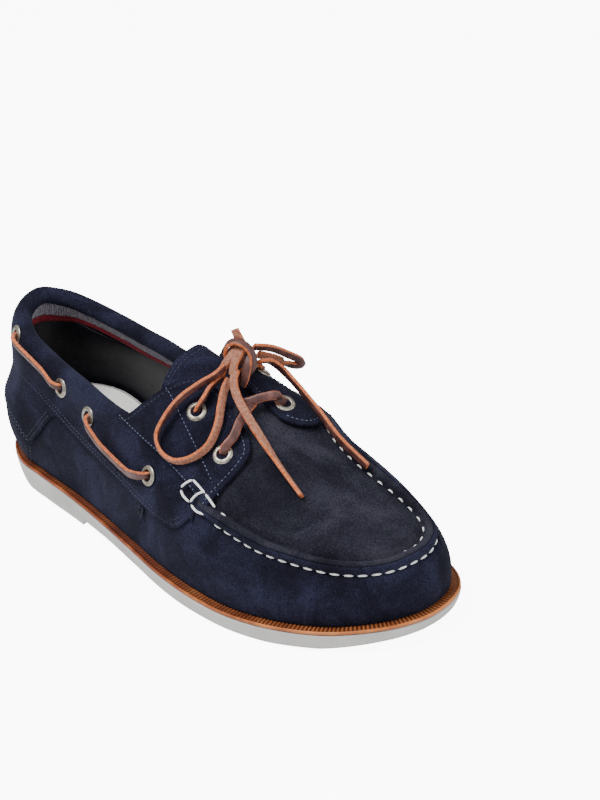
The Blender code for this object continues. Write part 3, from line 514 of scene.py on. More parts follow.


# %% [markdown]
# ## Suede
#
# Suede is the flesh side of a hide, sanded to a nap of short fibres. The nap lies in patches, so the
# colour wanders between a near black and a worn blue, and its fibres catch light at a grazing
# angle. Sheen gives that rim, and fine noise in the bump gives the fibres. Real fibres are too fine
# to show, so they are drawn two thirds of a millimetre wide. The toe plug is the same hide in a
# paler, greyer copy: painted light for the light that falls on the top of the shoe.

# %% The suede material


def suede(name, dark, middle, wear_and_shade):
    """Half the colour's place on the ramp comes from the patches and half from the fibres."""
    material, shader = new_material(
        name, Roughness=0.95, Specular_IOR_Level=0.12, Sheen_Weight=0.07, Sheen_Roughness=0.4
    )
    shader.inputs["Sheen Tint"].default_value = linear("#aab4d8")
    place = add_node(material, "TexCoord").outputs["Object"]
    patches, fibres = (
        add_node(material, "TexNoise", {"Vector": place, **noise}).outputs[0]
        for noise in (
            {"Scale": scale_of(29.41), "Detail": 5.0, "Roughness": 0.62, "Distortion": 0.6},
            {"Scale": scale_of(0.6667), "Detail": 3.0, "Roughness": 0.7},
        )
    )
    mixed = add_node(material, "Mix", {0: 0.5, 2: patches, 3: fibres}, data_type="FLOAT")
    stops = ((0.41, dark), (0.5, middle), (0.6, wear_and_shade))
    colours = add_node(material, "ValToRGB", {"Fac": mixed.outputs[0]}, stops)
    feed(shader, "Base Color", colours.outputs["Color"])
    relief = add_node(material, "Bump", {"Height": fibres, "Strength": 0.35, "Distance": 0.6 * MM})
    feed(shader, "Normal", relief.outputs[0])
    return material


SUEDE = suede("navy suede, sanded nap", "#0d0c17", "#171726", "#292a40")
# A paler, greyer copy of the suede: painted light on the top of the shoe, where the toe plug lies.
TOP_LIT_SUEDE = suede("navy suede, painted paler for light on top", "#12121a", "#20202b", "#35353f")

# %% [markdown]
# ## Rawhide
#
# The lace is a thong cut from oiled leather. Its grain face is smooth and a dark pinkish brown, its
# flesh face is rough and a pale tan, and its cut edges show the orange heart of the hide. The strip
# carries two numbers: raw is 0 on the grain and 1 elsewhere, and cut is 1 on the edges.

# %% The lace's material


def rawhide():
    """Grain (1 - raw) + flesh raw, then the cut edge's orange over both, by the number cut."""
    material, shader = new_material("oiled rawhide thong", Specular_IOR_Level=0.45)
    raw, cut = (
        add_node(material, "Attribute", attribute_name=name).outputs["Fac"] for name in ("raw", "cut")
    )
    place = add_node(material, "TexCoord").outputs["Object"]
    fuzz, grain = (
        add_node(material, "TexNoise", {"Vector": place, **noise}).outputs[0]
        for noise in (
            {"Scale": scale_of(1.111), "Detail": 4.0, "Roughness": 0.7},
            {"Scale": scale_of(6.25), "Detail": 3.0},
        )
    )
    smooth, flesh, edge = (
        add_node(material, "ValToRGB", {"Fac": noise}, tuple(zip((0.3, 0.5, 0.72), colours)))
        for noise, *colours in (
            (grain, "#3c2220", "#573632", "#784f48"),
            (fuzz, "#7a4736", "#a06a54", "#bf8a74"),
            (fuzz, "#9a4520", "#c8693a", "#ea996b"),
        )
    )
    colour = smooth.outputs["Color"]
    for share, other in ((raw, flesh), (cut, edge)):
        pair = {0: share, 6: colour, 7: other.outputs["Color"]}
        colour = add_node(material, "Mix", pair, data_type="RGBA").outputs[2]
    rough = add_node(material, "Mix", {0: raw, 2: 0.45, 3: 0.85}, data_type="FLOAT")
    height = add_node(material, "Math", {0: fuzz, 1: raw}, operation="MULTIPLY").outputs[0]
    relief = add_node(material, "Bump", {"Height": height, "Strength": 0.5, "Distance": 0.6 * MM})
    feed(shader, "Base Color", colour)
    feed(shader, "Roughness", rough.outputs[0])
    feed(shader, "Normal", relief.outputs[0])
    return material


RAWHIDE = rawhide()

# %% [markdown]
# ## The lace
#
# The thong is 4.2 mm wide and 2.2 mm thick. Its section is a flat oblong with
# eased corners, carried along a smooth path. Each path says at a few places which way the grain
# looks, as right, up and toward the viewer of the picture, and the strip turns between them.

# %% A thong along a path
LACE_WIDTH = 4.2
LACE_THICKNESS = 2.2
SECTION_TURNS = 20


def unit(vectors):
    return vectors / np.linalg.norm(vectors, axis=-1, keepdims=True)


def thong_section():
    """A superellipse |x|^5 + |y|^5 = 1: across the strip, then through it, from edge to edge."""
    angle = 2 * math.pi * (np.arange(SECTION_TURNS) + 0.5) / SECTION_TURNS
    x, y = np.cos(angle), np.sin(angle)
    scale = (np.abs(x) ** 5 + np.abs(y) ** 5) ** (-1 / 5)
    return x * scale, y * scale


def thong(name, path, looks, seed=0):
    """A strip whose section is carried along the path, its grain looking the way that is given."""
    along = unit(np.gradient(path, axis=0))
    looks = unit(looks - along * (looks * along).sum(-1, keepdims=True))
    across = np.cross(along, looks)
    x, y = thong_section()
    run = run_length(path)
    wander = 1 + 0.02 * np.sin(run * 0.9 + seed) + 0.015 * np.sin(run * 2.3 + 2 * seed)
    wide = across[:, None] * (x[None, :, None] * LACE_WIDTH / 2 * wander[:, None, None])
    rings = path[:, None] + wide + looks[:, None] * (y[None, :, None] * LACE_THICKNESS / 2)
    lids = [rings[k] * 0.3 + path[k] * 0.7 for k in (0, -1)]
    points = np.vstack([lids[0], rings.reshape(-1, 3), lids[1]])
    attributes = {}
    for key, bare in (("raw", y > 0.8), ("cut", np.abs(y) > 0.8)):
        ring = np.where(bare, 0.0, 1.0)
        lid_ring = np.ones(SECTION_TURNS)
        attributes[key] = np.concatenate([lid_ring, np.tile(ring, len(path)), lid_ring])
    quads = tube_quads(len(path) + 2, SECTION_TURNS)
    return add_piece(name, points, quads, RAWHIDE, attributes)


def picture_way(ways, path):
    """Directions given as right, up and toward at shares of the path, turned smoothly between."""
    ways = np.array(ways, float)
    run = run_length(path) / run_length(path)[-1]
    mixed = sampled(run, ways[:, 0], ways[:, 1:])
    for _ in range(12):
        mixed[1:-1] = (mixed[:-2] + 2 * mixed[1:-1] + mixed[2:]) / 4
    return mixed @ np.array([right, up, toward])


# %% [markdown]
# ### The bow
#
# The free lace is known from end to end, because the picture shows the whole bow: two loops and two
# ends that leave one knot. The routes are the model's own points, in millimetres.

# %% The bow's routes
ROUTES = {
    "lace_loop_outer": (
        (171.5, -1.6, 104.8), (171.0, -8.4, 102.2), (169.1, -14.9, 100.3), (165.2, -25.7, 94.9),
        (162.8, -33.8, 87.4), (161.4, -39.1, 79.3), (165.9, -41.3, 73.2), (175.1, -40.6, 70.6),
        (184.2, -36.3, 73.6), (189.4, -29.5, 79.4), (187.3, -21.2, 86.4), (181.8, -13.8, 92.4),
        (177.6, -7.9, 96.6), (174.5, -2.4, 98.9),
    ),
    "lace_loop_inner": (
        (172.2, 16.4, 109.0), (174.7, 25.0, 105.7), (176.6, 33.0, 100.0), (177.4, 39.6, 94.4),
        (176.6, 41.2, 90.6), (174.6, 37.0, 91.8), (172.0, 27.5, 98.6), (171.6, 19.0, 103.6),
    ),
    "lace_end_middle": (
        (177.5, 0.2, 103.6), (180.3, -3.8, 101.4), (185.8, -7.2, 97.2), (194.6, -9.8, 91.8),
        (204.8, -10.3, 83.0), (218.2, -11.2, 73.0), (237.2, -13.4, 62.6),
    ),
    "lace_end_inner": (
        (179.6, 14.0, 104.4), (178.6, 20.5, 101.6), (179.2, 25.0, 97.2), (181.2, 27.4, 93.4),
        (190.7, 26.8, 89.4), (206.4, 24.5, 83.7), (224.9, 22.2, 74.5), (242.2, 24.0, 64.9),
    ),
}
GRAIN_LOOKS = {
    "lace_loop_outer": (
        (0.0, 0.5, -0.6, 0.6), (0.28, 0.6, -0.5, 0.4), (0.4, 0.95, 0.0, 0.15), (0.5, 0.5, 0.8, -0.25),
        (0.6, 0.0, 0.9, -0.5), (0.75, -0.5, 0.4, -0.8), (1.0, -0.5, 0.1, -0.9),
    ),
    "lace_loop_inner": ((0.0, 0.1, -0.8, 0.5), (0.5, 0.3, -0.6, 0.3), (1.0, -0.2, 0.6, -0.6)),
    "lace_end_middle": (
        (0.0, 0.5, 0.1, -0.8), (0.4, -0.1, -0.3, -0.8), (0.7, -0.5, -0.65, -0.1), (1.0, -0.5, -0.7, 0.1),
    ),
    "lace_end_inner": ((0.0, -0.3, -0.6, 0.6), (0.4, -0.5, -0.6, 0.6), (1.0, -0.5, -0.6, 0.6)),
}

# %% [markdown]
# ### The knot
#
# The knot is made of the same thong: a band wraps over it from the left and runs down its right
# side, the middle run comes up under the band, and one strand turns back on the right. The short
# cut end stands out at the top. A small lump of the raw leather fills the heart of the knot.

# %% The knot
KNOT_CENTRE = np.array([172.0, 7.5, 107.0])
KNOT_STRANDS = {
    # each place is millimetres right, up and toward the camera from the middle of the knot
    "wrap": (
        (-5.6, -1.5, -3.5), (-6.8, 0.6, -1.0), (-6.9, 3.2, 1.6), (-5.5, 5.9, 4.0), (-2.6, 7.2, 5.8),
        (0.8, 6.5, 7.2), (4.1, 4.2, 7.6), (6.3, 0.6, 6.8), (6.7, -3.4, 5.4), (5.6, -7.2, 3.8),
        (4.0, -9.4, 1.4),
    ),
    "left": ((0.6, 4.6, 3.0), (-2.4, 2.2, 4.6), (-5.2, -1.4, 4.2), (-7.6, -5.0, 2.6), (-9.0, -9.0, 0.4)),
    "middle": ((3.0, 5.4, 3.2), (0.8, 2.6, 5.4), (-1.5, -1.2, 6.6), (-2.7, -5.0, 6.8), (-3.1, -9.0, 6.4)),
    "right": ((4.8, 2.0, 3.6), (4.3, -2.4, 5.2), (3.4, -6.8, 5.4), (2.6, -10.6, 4.4), (1.0, -14.0, 2.0)),
    "stub": ((1.8, 4.6, 2.0), (0.4, 7.8, 3.2), (-1.2, 10.6, 3.8), (-2.3, 13.2, 4.2)),
}
KNOT_LOOKS = {
    "wrap": ((0.0, -0.9, 0.1, 0.3), (0.3, -0.4, 0.8, 0.5), (0.55, 0.2, 0.7, 0.7), (1.0, 0.9, 0.1, 0.5)),
    "left": ((0.0, 0.4, -0.2, -0.9), (1.0, 0.5, -0.3, -0.8)),
    "middle": ((0.0, 0.5, -0.1, -0.85), (1.0, 0.5, 0.1, -0.8)),
    "right": ((0.0, -0.2, 0.0, 0.9), (1.0, -0.2, 0.0, 0.9)),
    "stub": ((0.0, 0.4, 0.2, -0.9), (1.0, 0.4, 0.2, -0.9)),
}


BALL_RINGS, BALL_MERIDIANS = 14, 24


def ball(size):
    """A ball, (cos a cos b, sin a cos b, sin b), drawn out to a size along each axis."""
    tilt, turn = np.meshgrid(
        np.linspace(-0.49, 0.49, BALL_RINGS) * math.pi,
        np.linspace(0, 2 * math.pi, BALL_MERIDIANS, endpoint=False), indexing="ij",
    )
    return np.stack([np.cos(turn) * np.cos(tilt), np.sin(turn) * np.cos(tilt), np.sin(tilt)], -1) * size


heart = KNOT_CENTRE + up * 1.6 + ball((5.6, 5.6, 6.2))
half_raw = np.full(heart[..., 0].size, 0.6)
knot_pieces = [add_piece(
    "rawhide_knot_heart", heart, tube_quads(BALL_RINGS, BALL_MERIDIANS), RAWHIDE,
    {"raw": half_raw, "cut": 0 * half_raw},
)]
for seed, (name, places) in enumerate(KNOT_STRANDS.items()):
    path = smooth_curve(KNOT_CENTRE + np.array(places) @ np.array([right, up, toward]), 12)
    path = evenly(path, int(run_length(path)[-1] / 0.7))
    looks = picture_way(KNOT_LOOKS[name], path)
    knot_pieces.append(thong("rawhide_knot_" + name, path, looks, seed=seed + 5))
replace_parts(knot_pieces[0], "lace_knot")

# %% [markdown]
# The bow's four runs are free thongs, each carried along its route, and the length of each is
# printed.

# %% The bow, with the knot on it
lace_lengths = {}
for seed, (name, route) in enumerate(ROUTES.items()):
    path = smooth_curve(route, 10)
    path = evenly(path, int(run_length(path)[-1] / 0.9))
    piece = thong("rawhide_" + name[5:], path, picture_way(GRAIN_LOOKS[name], path), seed=seed)
    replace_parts(piece, name)
    length = run_length(path)[-1]
    lace_lengths[name] = round(float(length), 1)
print("lengths of the bow's four runs in millimetres:", lace_lengths)

# %% [markdown]
# ### The lace that is held
#
# Beside the collar the lace lies on the wall from one eyelet into the next. Over the throat it comes
# up through four eyelets, crosses, and goes to the knot. Each run starts under its eyelet, so its
# hidden end stops there.

# %% Eyelet places, and the held runs
EYELETS = {
    "throat_lower": (0.5, (0.622, 0.729), (0.627, 0.855)),
    "throat_upper": (0.5, (0.548, 0.775), (0.550, 0.716)),
    "collar_front": (0.5, (0.508, 0.370), (0.505, 0.385)),
    "collar_middle": (0.5, (0.340, 0.368), (0.340, 0.362)),
    "collar_rear": (0.6, (0.260, 0.409), (0.260, 0.368)),
    "collar_back": (1.1, (0.118, 0.518), (0.120, 0.440)),
}
SIDES = {"outer": -1.0, "inner": 1.0}
SIDE_RUNS = (
    ("lace_side_rear", "collar_back", "collar_rear", 0.0),
    ("lace_side_front", "collar_middle", "collar_front", 0.075),
)
RUN_LIFT = (
    # millimetres along the run from the eyelet's middle, height over the last
    (0.0, -3.2), (0.2, -0.5), (0.8, 1.9), (2.0, 3.7), (4.2, 4.7), (7.5, 4.5), (11.0, 4.0), (15.0, 3.6),
)
SIDE_TILT = 0.55
ARMS = {
    "lace_crossing_lower": (
        "throat_lower", -1.0,
        ((196.6, -19.6, 82.6), (193.5, -12.3, 87.0), (190.8, -5.0, 89.6), (188.2, 0.6, 89.8)),
        ((0.0, 0.3, 0.1, 0.8), (1.0, -0.2, 0.1, 0.9)),
    ),
    "lace_crossing": (
        "throat_lower", 1.0,
        ((195.4, 10.4, 92.6), (192.0, 5.0, 92.8), (188.0, -0.8, 91.4), (183.8, -5.4, 90.0)),
        ((0.0, 0.1, 0.1, 1.0), (1.0, 0.0, 0.1, 1.0)),
    ),
    "lace_tie_outer": (
        "throat_upper", -1.0,
        ((173.4, -17.6, 94.6), (171.6, -12.6, 97.0), (169.8, -6.0, 98.2), (169.6, -1.4, 98.8)),
        ((0.0, 0.8, -0.5, 0.3), (1.0, 0.7, -0.6, 0.3)),
    ),
    "lace_tie_inner": (
        "throat_upper", 1.0,
        ((171.8, 15.4, 99.6), (172.2, 11.6, 98.4), (172.6, 8.0, 99.0)),
        ((0.0, 0.0, 0.7, 0.6), (1.0, 0.0, 0.7, 0.6)),
    ),
}


def eyelet_at(name, word):
    """An eyelet's station, rise and side, and how far it stands off the panel."""
    stand, outer, inner = EYELETS[name]
    return (*(outer if word == "outer" else inner), SIDES[word], stand)


def side_run(word, first, second, sag):
    """From one eyelet to the next: a straight line in station and rise, with a sag of 4 u (1 - u)."""
    a, b = (np.array(eyelet_at(name, word)) for name in (first, second))
    length = float(np.linalg.norm(last_point(*b[:3]) - last_point(*a[:3])))
    start = [(d / length, lift + a[3]) for d, lift in RUN_LIFT]
    stop = [(1 - d / length, lift + b[3]) for d, lift in RUN_LIFT]
    u, lift = np.array(start + stop[::-1]).T
    station = a[0] + (b[0] - a[0]) * u
    rise = a[1] + (b[1] - a[1]) * u - 4 * sag * u * (1 - u)
    path = smooth_curve(on_last(station, rise, a[2], lift), 8)
    return evenly(path, int(length / 0.9))


def flat_looks(path, run_way, wall_way):
    """A strip that bends over an eyelet without a twist: across x along, across being fixed."""
    across = unit(np.cross(run_way, wall_way))
    return np.cross(across, unit(np.gradient(path, axis=0)))


for name, first, second, sag in SIDE_RUNS:
    for word, side in SIDES.items():
        path = side_run(word, first, second, sag)
        way = sum(last_normal(*eyelet_at(eyelet, word)[:3]) for eyelet in (first, second))
        across = unit(np.cross(path[-1] - path[0], way)) * -side
        run = run_length(path)
        held = blend(run, 2.0, 8.0) * blend(run[-1] - run, 2.0, 8.0)
        looks = unit(flat_looks(path, path[-1] - path[0], way)) + SIDE_TILT * held[:, None] * across
        piece = thong("rawhide_" + name[5:] + "_" + word, path, looks, seed=len(name) + side)
        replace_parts(piece, name + "_" + word)

for name, (eyelet, side, route, ways) in ARMS.items():
    word = "outer" if side < 0 else "inner"
    station, rise, _, stand = eyelet_at(eyelet, word)
    foot, way = last_point(station, rise, side), last_normal(station, rise, side)
    lean = np.array(route[0]) - foot
    lean = unit(lean - way * (lean @ way))
    start = [foot + lean * d + way * (lift + stand) for d, lift in RUN_LIFT[:5]]
    path = smooth_curve(start + list(route), 10)
    path = evenly(path, int(run_length(path)[-1] / 0.8))
    flat = flat_looks(path, lean, way)
    share = blend(run_length(path), 2.5, 7.0)[:, None]
    looks = unit(flat) * (1 - share) + unit(picture_way(ways, path)) * share
    piece = thong("rawhide_" + name[5:], path, looks, seed=len(name))
    if name != "lace_crossing_lower":
        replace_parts(piece, name)

# %% [markdown]
# ## The suede pieces
#
# A shoemaker cuts the upper from a few pieces: a wall, a toe plug, a heel patch, a collar panel that
# rolls over its padding, and a wing on each side of the tongue. Each lies on the last at its own
# height, and each has a cut edge that rounds over within a millimetre.

# %% Creases, and a slab on the last
CREASES = (
    # side, station and rise of both ends, width in millimetres, height (a trough is below zero)
    (-1, 0.500, 0.12, 0.560, 0.20, 7.0, -0.9),
    (-1, 0.470, 0.06, 0.500, 0.15, 6.0, -0.5),
    (-1, 0.560, 0.10, 0.640, 0.26, 7.0, 0.9),
    (-1, 0.640, 0.16, 0.720, 0.30, 8.0, -0.9),
    (-1, 0.300, 0.05, 0.360, 0.14, 7.0, -0.8),
    (-1, 0.700, 0.62, 0.720, 0.90, 7.0, -0.9),
    (-1, 0.745, 0.60, 0.760, 0.95, 7.0, 0.5),
    (1, 0.700, 0.75, 0.720, 0.95, 7.0, -0.9),
    (1, 0.520, 0.12, 0.580, 0.24, 7.0, -1.0),
    (1, 0.600, 0.14, 0.660, 0.30, 8.0, -0.9),
    (1, 0.320, 0.06, 0.380, 0.15, 7.0, -0.8),
)


def crease_height(station, rise, side, surface):
    """Each crease is height exp(-(distance / width)^2) from a line on the last, faded at its ends."""
    total = np.zeros(surface.shape[:-1])
    for crease_side, s0, v0, s1, v1, width, height in CREASES:
        a, b = (last_point(s, v, float(crease_side)) for s, v in ((s0, v0), (s1, v1)))
        span = b - a
        share = ((surface - a) @ span) / (span @ span)
        away = np.linalg.norm(surface - a - np.clip(share, 0, 1)[..., None] * span, axis=-1)
        total += height * np.exp(-((away / width) ** 2))
    return total


def suede_piece(
    name, station, rise, side, thickness, lift, borders=None, row=2.0, index=None, material=SUEDE
):
    """A slab on the last, its face at the lift. Its cut edges are rounded, and its row of stitches
    lies in a groove so many millimetres from the edge. Borders says how far away the edge is."""
    station, rise, side = np.broadcast_arrays(station, rise, side)
    surface = last_point(station, rise, side)
    normal = last_normal(station, rise, side)
    away = steps_to_edge(surface) if borders is None else borders
    groove = -0.22 * np.exp(-(((away - row) / 0.55) ** 2)) if row else 0.0
    height = lift + groove + crease_height(station, rise, side, surface)
    front = surface + normal * (height - thickness * (1 - rounded(away, 0.8)))[..., None]
    back = surface + normal * (height - thickness)[..., None]
    return add_slab(name, front, back, material, index)


# %% [markdown]
# ### The wall
#
# The wall is one strip of hide, drawn up from under the foot and gathered at the toe. Its top turns
# outward into half of the raised seam, which stands about three and a half millimetres high, and the
# suede puffs a little between two stitches.

# %% The wall from the welt to the toe seam
STITCH_PITCH = 6.6
FAR_FROM_EDGE = 9.0


def seam_rise(station, side):
    """The rise of the toe seam's middle."""
    return by_side(station, TOE_SEAM, side)


def seam_offset(station, side, offset):
    """The rise of a line beside the seam, so many millimetres up the wall from its middle."""
    return seam_rise(station, side) + offset / by_side(station, SEAM_SCALE, side)


def round_the_toe(count):
    """Columns from the outer heel round the toe to the inner heel: station and side."""
    walk = np.linspace(-1, 1, count)
    return 1 - np.abs(walk), np.where(walk <= 0, -1.0, 1.0)


def seam_run(station, side):
    """How far along the toe seam a column is, in millimetres from the toe's point."""
    fine = np.linspace(0.58, 1, 300)
    run = {}
    for word in (-1.0, 1.0):
        points = last_point(fine, seam_rise(fine, word), word)
        total = run_length(points)
        run[word] = total[-1] - total
    return np.where(side < 0, -np.interp(station, fine, run[-1.0]), np.interp(station, fine, run[1.0]))


def pucker(station, side):
    """The gathers between two stitches: |sin| of the run, one arch to a stitch."""
    return np.abs(np.sin(math.pi * seam_run(station, side) / STITCH_PITCH))


station, side = round_the_toe(620)
WALL_PROFILE = np.array((
    # millimetres below the seam's middle, height over the last
    (9.0, 0.0), (7.0, 0.05), (5.6, 0.15), (4.8, 0.2), (4.2, 0.05), (3.7, -0.1), (3.3, 0.0), (3.05, 0.6),
    (2.85, 1.4), (2.5, 2.3), (2.0, 3.0), (1.4, 3.4), (0.8, 3.55), (0.3, 3.5), (0.1, 3.2), (0.05, 2.6),
    (0.05, 1.0),
))


def swell(places, *bumps):
    """The sum of height exp(-((place - middle) / width)^2) over the bumps."""
    return sum(height * np.exp(-(((places - middle) / width) ** 2)) for height, middle, width in bumps)


is_toe = blend(station, 0.603, 0.633)
seam = seam_rise(station, side)
scale = by_side(station, SEAM_SCALE, side)
top = np.maximum(by_side(station, PANEL_EDGE, side) + 0.05, blend(station, 0.50, 0.56) * seam)
top = np.where(station > 0.56, seam, top)
below = np.linspace(0, 1, 40)[:-1]
wall_rise = np.concatenate([
    below[None] * (top - 9.0 / scale)[:, None],
    top[:, None] - WALL_PROFILE[None, :, 0] / scale[:, None],
], 1)
gather = pucker(station, side) * blend(station, 0.62, 0.72)
wall_lift = np.zeros_like(wall_rise)
puff = swell(WALL_PROFILE[:, 0], (0.45, 6.0, 2.2), (0.225, 1.6, 1.0))
wall_lift[:, len(below):] = WALL_PROFILE[None, :, 1] * is_toe[:, None] + puff[None] * gather[:, None]
wall_station, wall_side = down_rows(wall_rise, station, side)
wall = suede_piece(
    "suede_wall", wall_station, wall_rise, wall_side, 1.6, wall_lift, FAR_FROM_EDGE, row=None
)
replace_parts(wall, "upper")

# %% [markdown]
# ### The toe plug
#
# The plug is a tongue of hide that closes the top of the moccasin. Its edge stands up against the
# wall's and leans inwards over its own stitches, and a trough follows the seam on the inside.

# %% The toe plug inside the seam
PLUG_COLUMNS = 200
half = np.linspace(0.585, 1, PLUG_COLUMNS)
plug_station = np.concatenate([half, half[::-1][1:]])
plug_side = np.where(np.arange(len(plug_station)) < PLUG_COLUMNS, -1.0, 1.0)
PLUG_PROFILE = np.array((
    # millimetres above the seam's middle, height over the last
    (0.05, 1.0), (0.05, 2.6), (0.1, 3.3), (0.4, 3.6), (1.0, 3.75), (1.7, 3.6), (2.3, 3.1), (2.7, 2.3),
    (2.85, 1.4), (2.9, 0.4), (2.95, -0.7), (3.3, -1.3), (4.0, -1.1), (5.0, -0.6), (7.0, -0.15), (9.0, 0.0),
    (11.0, 0.0),
))
edge = seam_rise(plug_station, plug_side)
over = np.linspace(0, 1, 46)[1:]
scale = by_side(plug_station, SEAM_SCALE, plug_side)
start = edge + PLUG_PROFILE[-1, 0] / scale
plug_rise = np.concatenate([
    edge[:, None] + PLUG_PROFILE[None, :, 0] / scale[:, None],
    start[:, None] + (1 - start)[:, None] * over[None],
], 1)
plug_lift = np.zeros_like(plug_rise)
is_toe = blend(plug_station, 0.603, 0.633)
gather = pucker(plug_station, plug_side) * blend(plug_station, 0.62, 0.72)
puff = swell(PLUG_PROFILE[:, 0], (0.3, 1.6, 1.0))
plug_lift[:, : len(PLUG_PROFILE)] = PLUG_PROFILE[None, :, 1] * is_toe[:, None] + puff[None] * gather[:, None]
index = np.arange(plug_rise.size).reshape(plug_rise.shape)
index[PLUG_COLUMNS:, -1] = index[: PLUG_COLUMNS - 1, -1][::-1]
plug_station, plug_side = down_rows(plug_rise, plug_station, plug_side)
# The plug takes the paler copy of the suede, painted light for the top of the shoe.
suede_piece(
    "suede_plug", plug_station, plug_rise, plug_side, 1.5, plug_lift, FAR_FROM_EDGE, row=None,
    index=index, material=TOP_LIT_SUEDE,
)

# %% [markdown]
# ### The heel patch
#
# A second layer of suede wraps the heel, where the foot wears it most. Its lower edge falls to a
# point on each side and climbs again under the collar panel.

# %% The heel patch
patch_station, patch_side = round_the_heel(150, HEEL_PATCH_END)
low = along_table(patch_station, HEEL_PATCH)
high = by_side(patch_station, PANEL_EDGE, patch_side) + 0.03
patch_rise = low[:, None] + (high - low)[:, None] * shares(22, 28.0)[None]
patch_station, patch_side = down_rows(patch_rise, patch_station, patch_side)
suede_piece("suede_heel_patch", patch_station, patch_rise, patch_side, 1.2, 1.35)

# %% [markdown]
# ### The collar panel
#
# One long piece runs round the heel from wing to wing. Its top rolls over a strip of foam and down
# inside the shoe, which makes the soft rim. The panel and its roll are one surface here: a profile
# of the roll, carried along the rim, that flattens out where the wings begin.

# %% The collar panel and its padded roll
ROLL = np.array((
    # millimetres below the rim, then out of the last, from the outside over the top to the inside
    (16.0, 1.5), (12.0, 1.6), (9.0, 1.9), (6.5, 2.3), (4.4, 2.6), (2.8, 2.6), (1.5, 2.2), (0.6, 1.3),
    (0.1, 0.2), (-0.1, -1.0), (0.0, -2.3), (0.3, -3.6), (0.8, -4.7), (1.5, -5.4), (2.3, -5.7),
    (3.2, -5.6), (3.9, -5.0), (4.4, -4.2), (4.7, -3.4),
))
PANEL_WIDTH = 30.0
collar_station, collar_side = round_the_heel(460, 0.612)
rim = by_side(collar_station, OPENING, collar_side)
rim = np.where(collar_station < 0.42, rim, np.minimum(rim, 0.53))
is_rolled = (1 - blend(collar_station, 0.405, 0.455))[:, None]
fine_roll = smooth_curve(ROLL, 3)
flat_out = np.clip(1.5 - np.arange(len(fine_roll)) * 0.12, -1.0, 1.5)
roll_lift = fine_roll[None, :, 1] * is_rolled + flat_out[None] * (1 - is_rolled)
down = fine_roll[None, :, 0] / RISE_LENGTH
down = down * is_rolled + np.abs(down) * (1 - is_rolled) * (fine_roll[None, :, 1] > 0)
low = by_side(collar_station, PANEL_EDGE, collar_side)
high = rim - ROLL[0, 0] / RISE_LENGTH
across = shares(20, PANEL_WIDTH, end=False)[:-1]
panel_rise = low[:, None] + np.maximum(high - low, 0.01)[:, None] * across[None]
panel_rise = np.concatenate([panel_rise, rim[:, None] - down], 1)
away = np.append(np.minimum(across * PANEL_WIDTH, FAR_FROM_EDGE), np.full(len(fine_roll), FAR_FROM_EDGE))
panel_lift = np.concatenate([np.full((len(rim), len(across)), 1.5), roll_lift], 1)
panel_station, panel_side = down_rows(panel_rise, collar_station, collar_side)
collar_panel = suede_piece(
    "suede_collar_panel", panel_station, panel_rise, panel_side, 1.2, panel_lift,
    np.broadcast_to(away, panel_rise.shape),
)

# %% [markdown]
# ### The wings
#
# A wing on each side holds the throat's eyelets. It is cut with a rounded front corner, sewn over
# the panel and the plug, and its front edge lifts a little where the lace pulls on it.

# %% The wings beside the tongue
WING_START = 0.412
WING_LENGTH = 80.0
WING_HEIGHT = 60.0

def wing_grid(side):
    """Stations run to the front edge, which depends on the rise, so the two are worked out in turns."""
    u, t = np.meshgrid(shares(46, WING_LENGTH), shares(40, WING_HEIGHT), indexing="ij")
    station = WING_START + u * 0.23
    for _ in range(12):
        low, high = by_side(station, WING_REAR, side), by_side(station, OPENING, side)
        rise = low + t * (high - low)
        front = by_side(rise, WING_FRONT, side) - 0.03 * t**14
        station = WING_START + u * (front - WING_START)
    return station, rise, u, t


def wing_flare(u, t, side):
    """The front edge lifts by 1.1 u^8 (1 + sin(9 t) / 2), u to the front and t up the edge."""
    return 1.1 * u**8 * (1 + 0.5 * np.sin(9 * t)) * (1.0 if side > 0 else 0.6)


for word, side in SIDES.items():
    station, rise, u, t = wing_grid(side)
    suede_piece("suede_wing_" + word, station, rise, side, 1.3, 2.25 + wing_flare(u, t, side))

# %% [markdown]
# ## The tongue
#
# The tongue is a suede sheet that lies under the wings and stands up behind them with a rounded
# top. Its corner stations differ a little from side to side, as in the model.

# %% The tongue
TONGUE_FRONT = 0.665
TONGUE_DEPTH = 3.3
TONGUE_THICKNESS = 1.8
TONGUE_ROWS = (2.0, 4.4)
across = np.linspace(-1, 1, 101)
tongue_rise = 1 - 0.36 * np.abs(across)
tongue_side = np.where(across <= 0, -1.0, 1.0)
corner = 0.459 - 0.007 * across
tongue_end = corner + (0.456 - corner) * (1 - np.abs(across) ** 3)
lengths = shares(60, 80.0)
tongue_station = TONGUE_FRONT + (tongue_end - TONGUE_FRONT)[:, None] * lengths[None]
tongue_rise, tongue_side = down_rows(tongue_station, tongue_rise, tongue_side)
wing_edge = np.interp(tongue_rise, OPENING[9:14, 1], OPENING[9:14, 0])
behind = np.clip((wing_edge - tongue_station) / 0.055, 0, None)
tongue_lift = 1.2 * behind**1.3 - TONGUE_DEPTH
tongue_surface = last_point(tongue_station, tongue_rise, tongue_side)
tongue_normal = last_normal(tongue_station, tongue_rise, tongue_side)
for _ in range(10):
    for field in (tongue_surface, tongue_normal):
        field[1:-1] = (field[:-2] + 2 * field[1:-1] + field[2:]) / 4
tongue_normal = unit(tongue_normal)

away = steps_to_edge(tongue_surface)
groove = -0.22 * sum(np.exp(-(((away - row) / 0.5) ** 2)) for row in TONGUE_ROWS)
face = tongue_lift + groove - TONGUE_THICKNESS * (1 - rounded(away, 0.8))
tongue_piece = add_slab(
    "suede_tongue", tongue_surface + tongue_normal * face[..., None],
    tongue_surface + tongue_normal * (tongue_lift - TONGUE_THICKNESS)[..., None], SUEDE,
)
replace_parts(tongue_piece, "tongue")

# %% [markdown]
# ## Inside the shoe
#
# The lining is thin smooth leather, almost black, with a soft shine. Under the padded roll a ribbed
# grey tape covers the seam, and a plain crimson band lies below it. The footbed is pale leather.

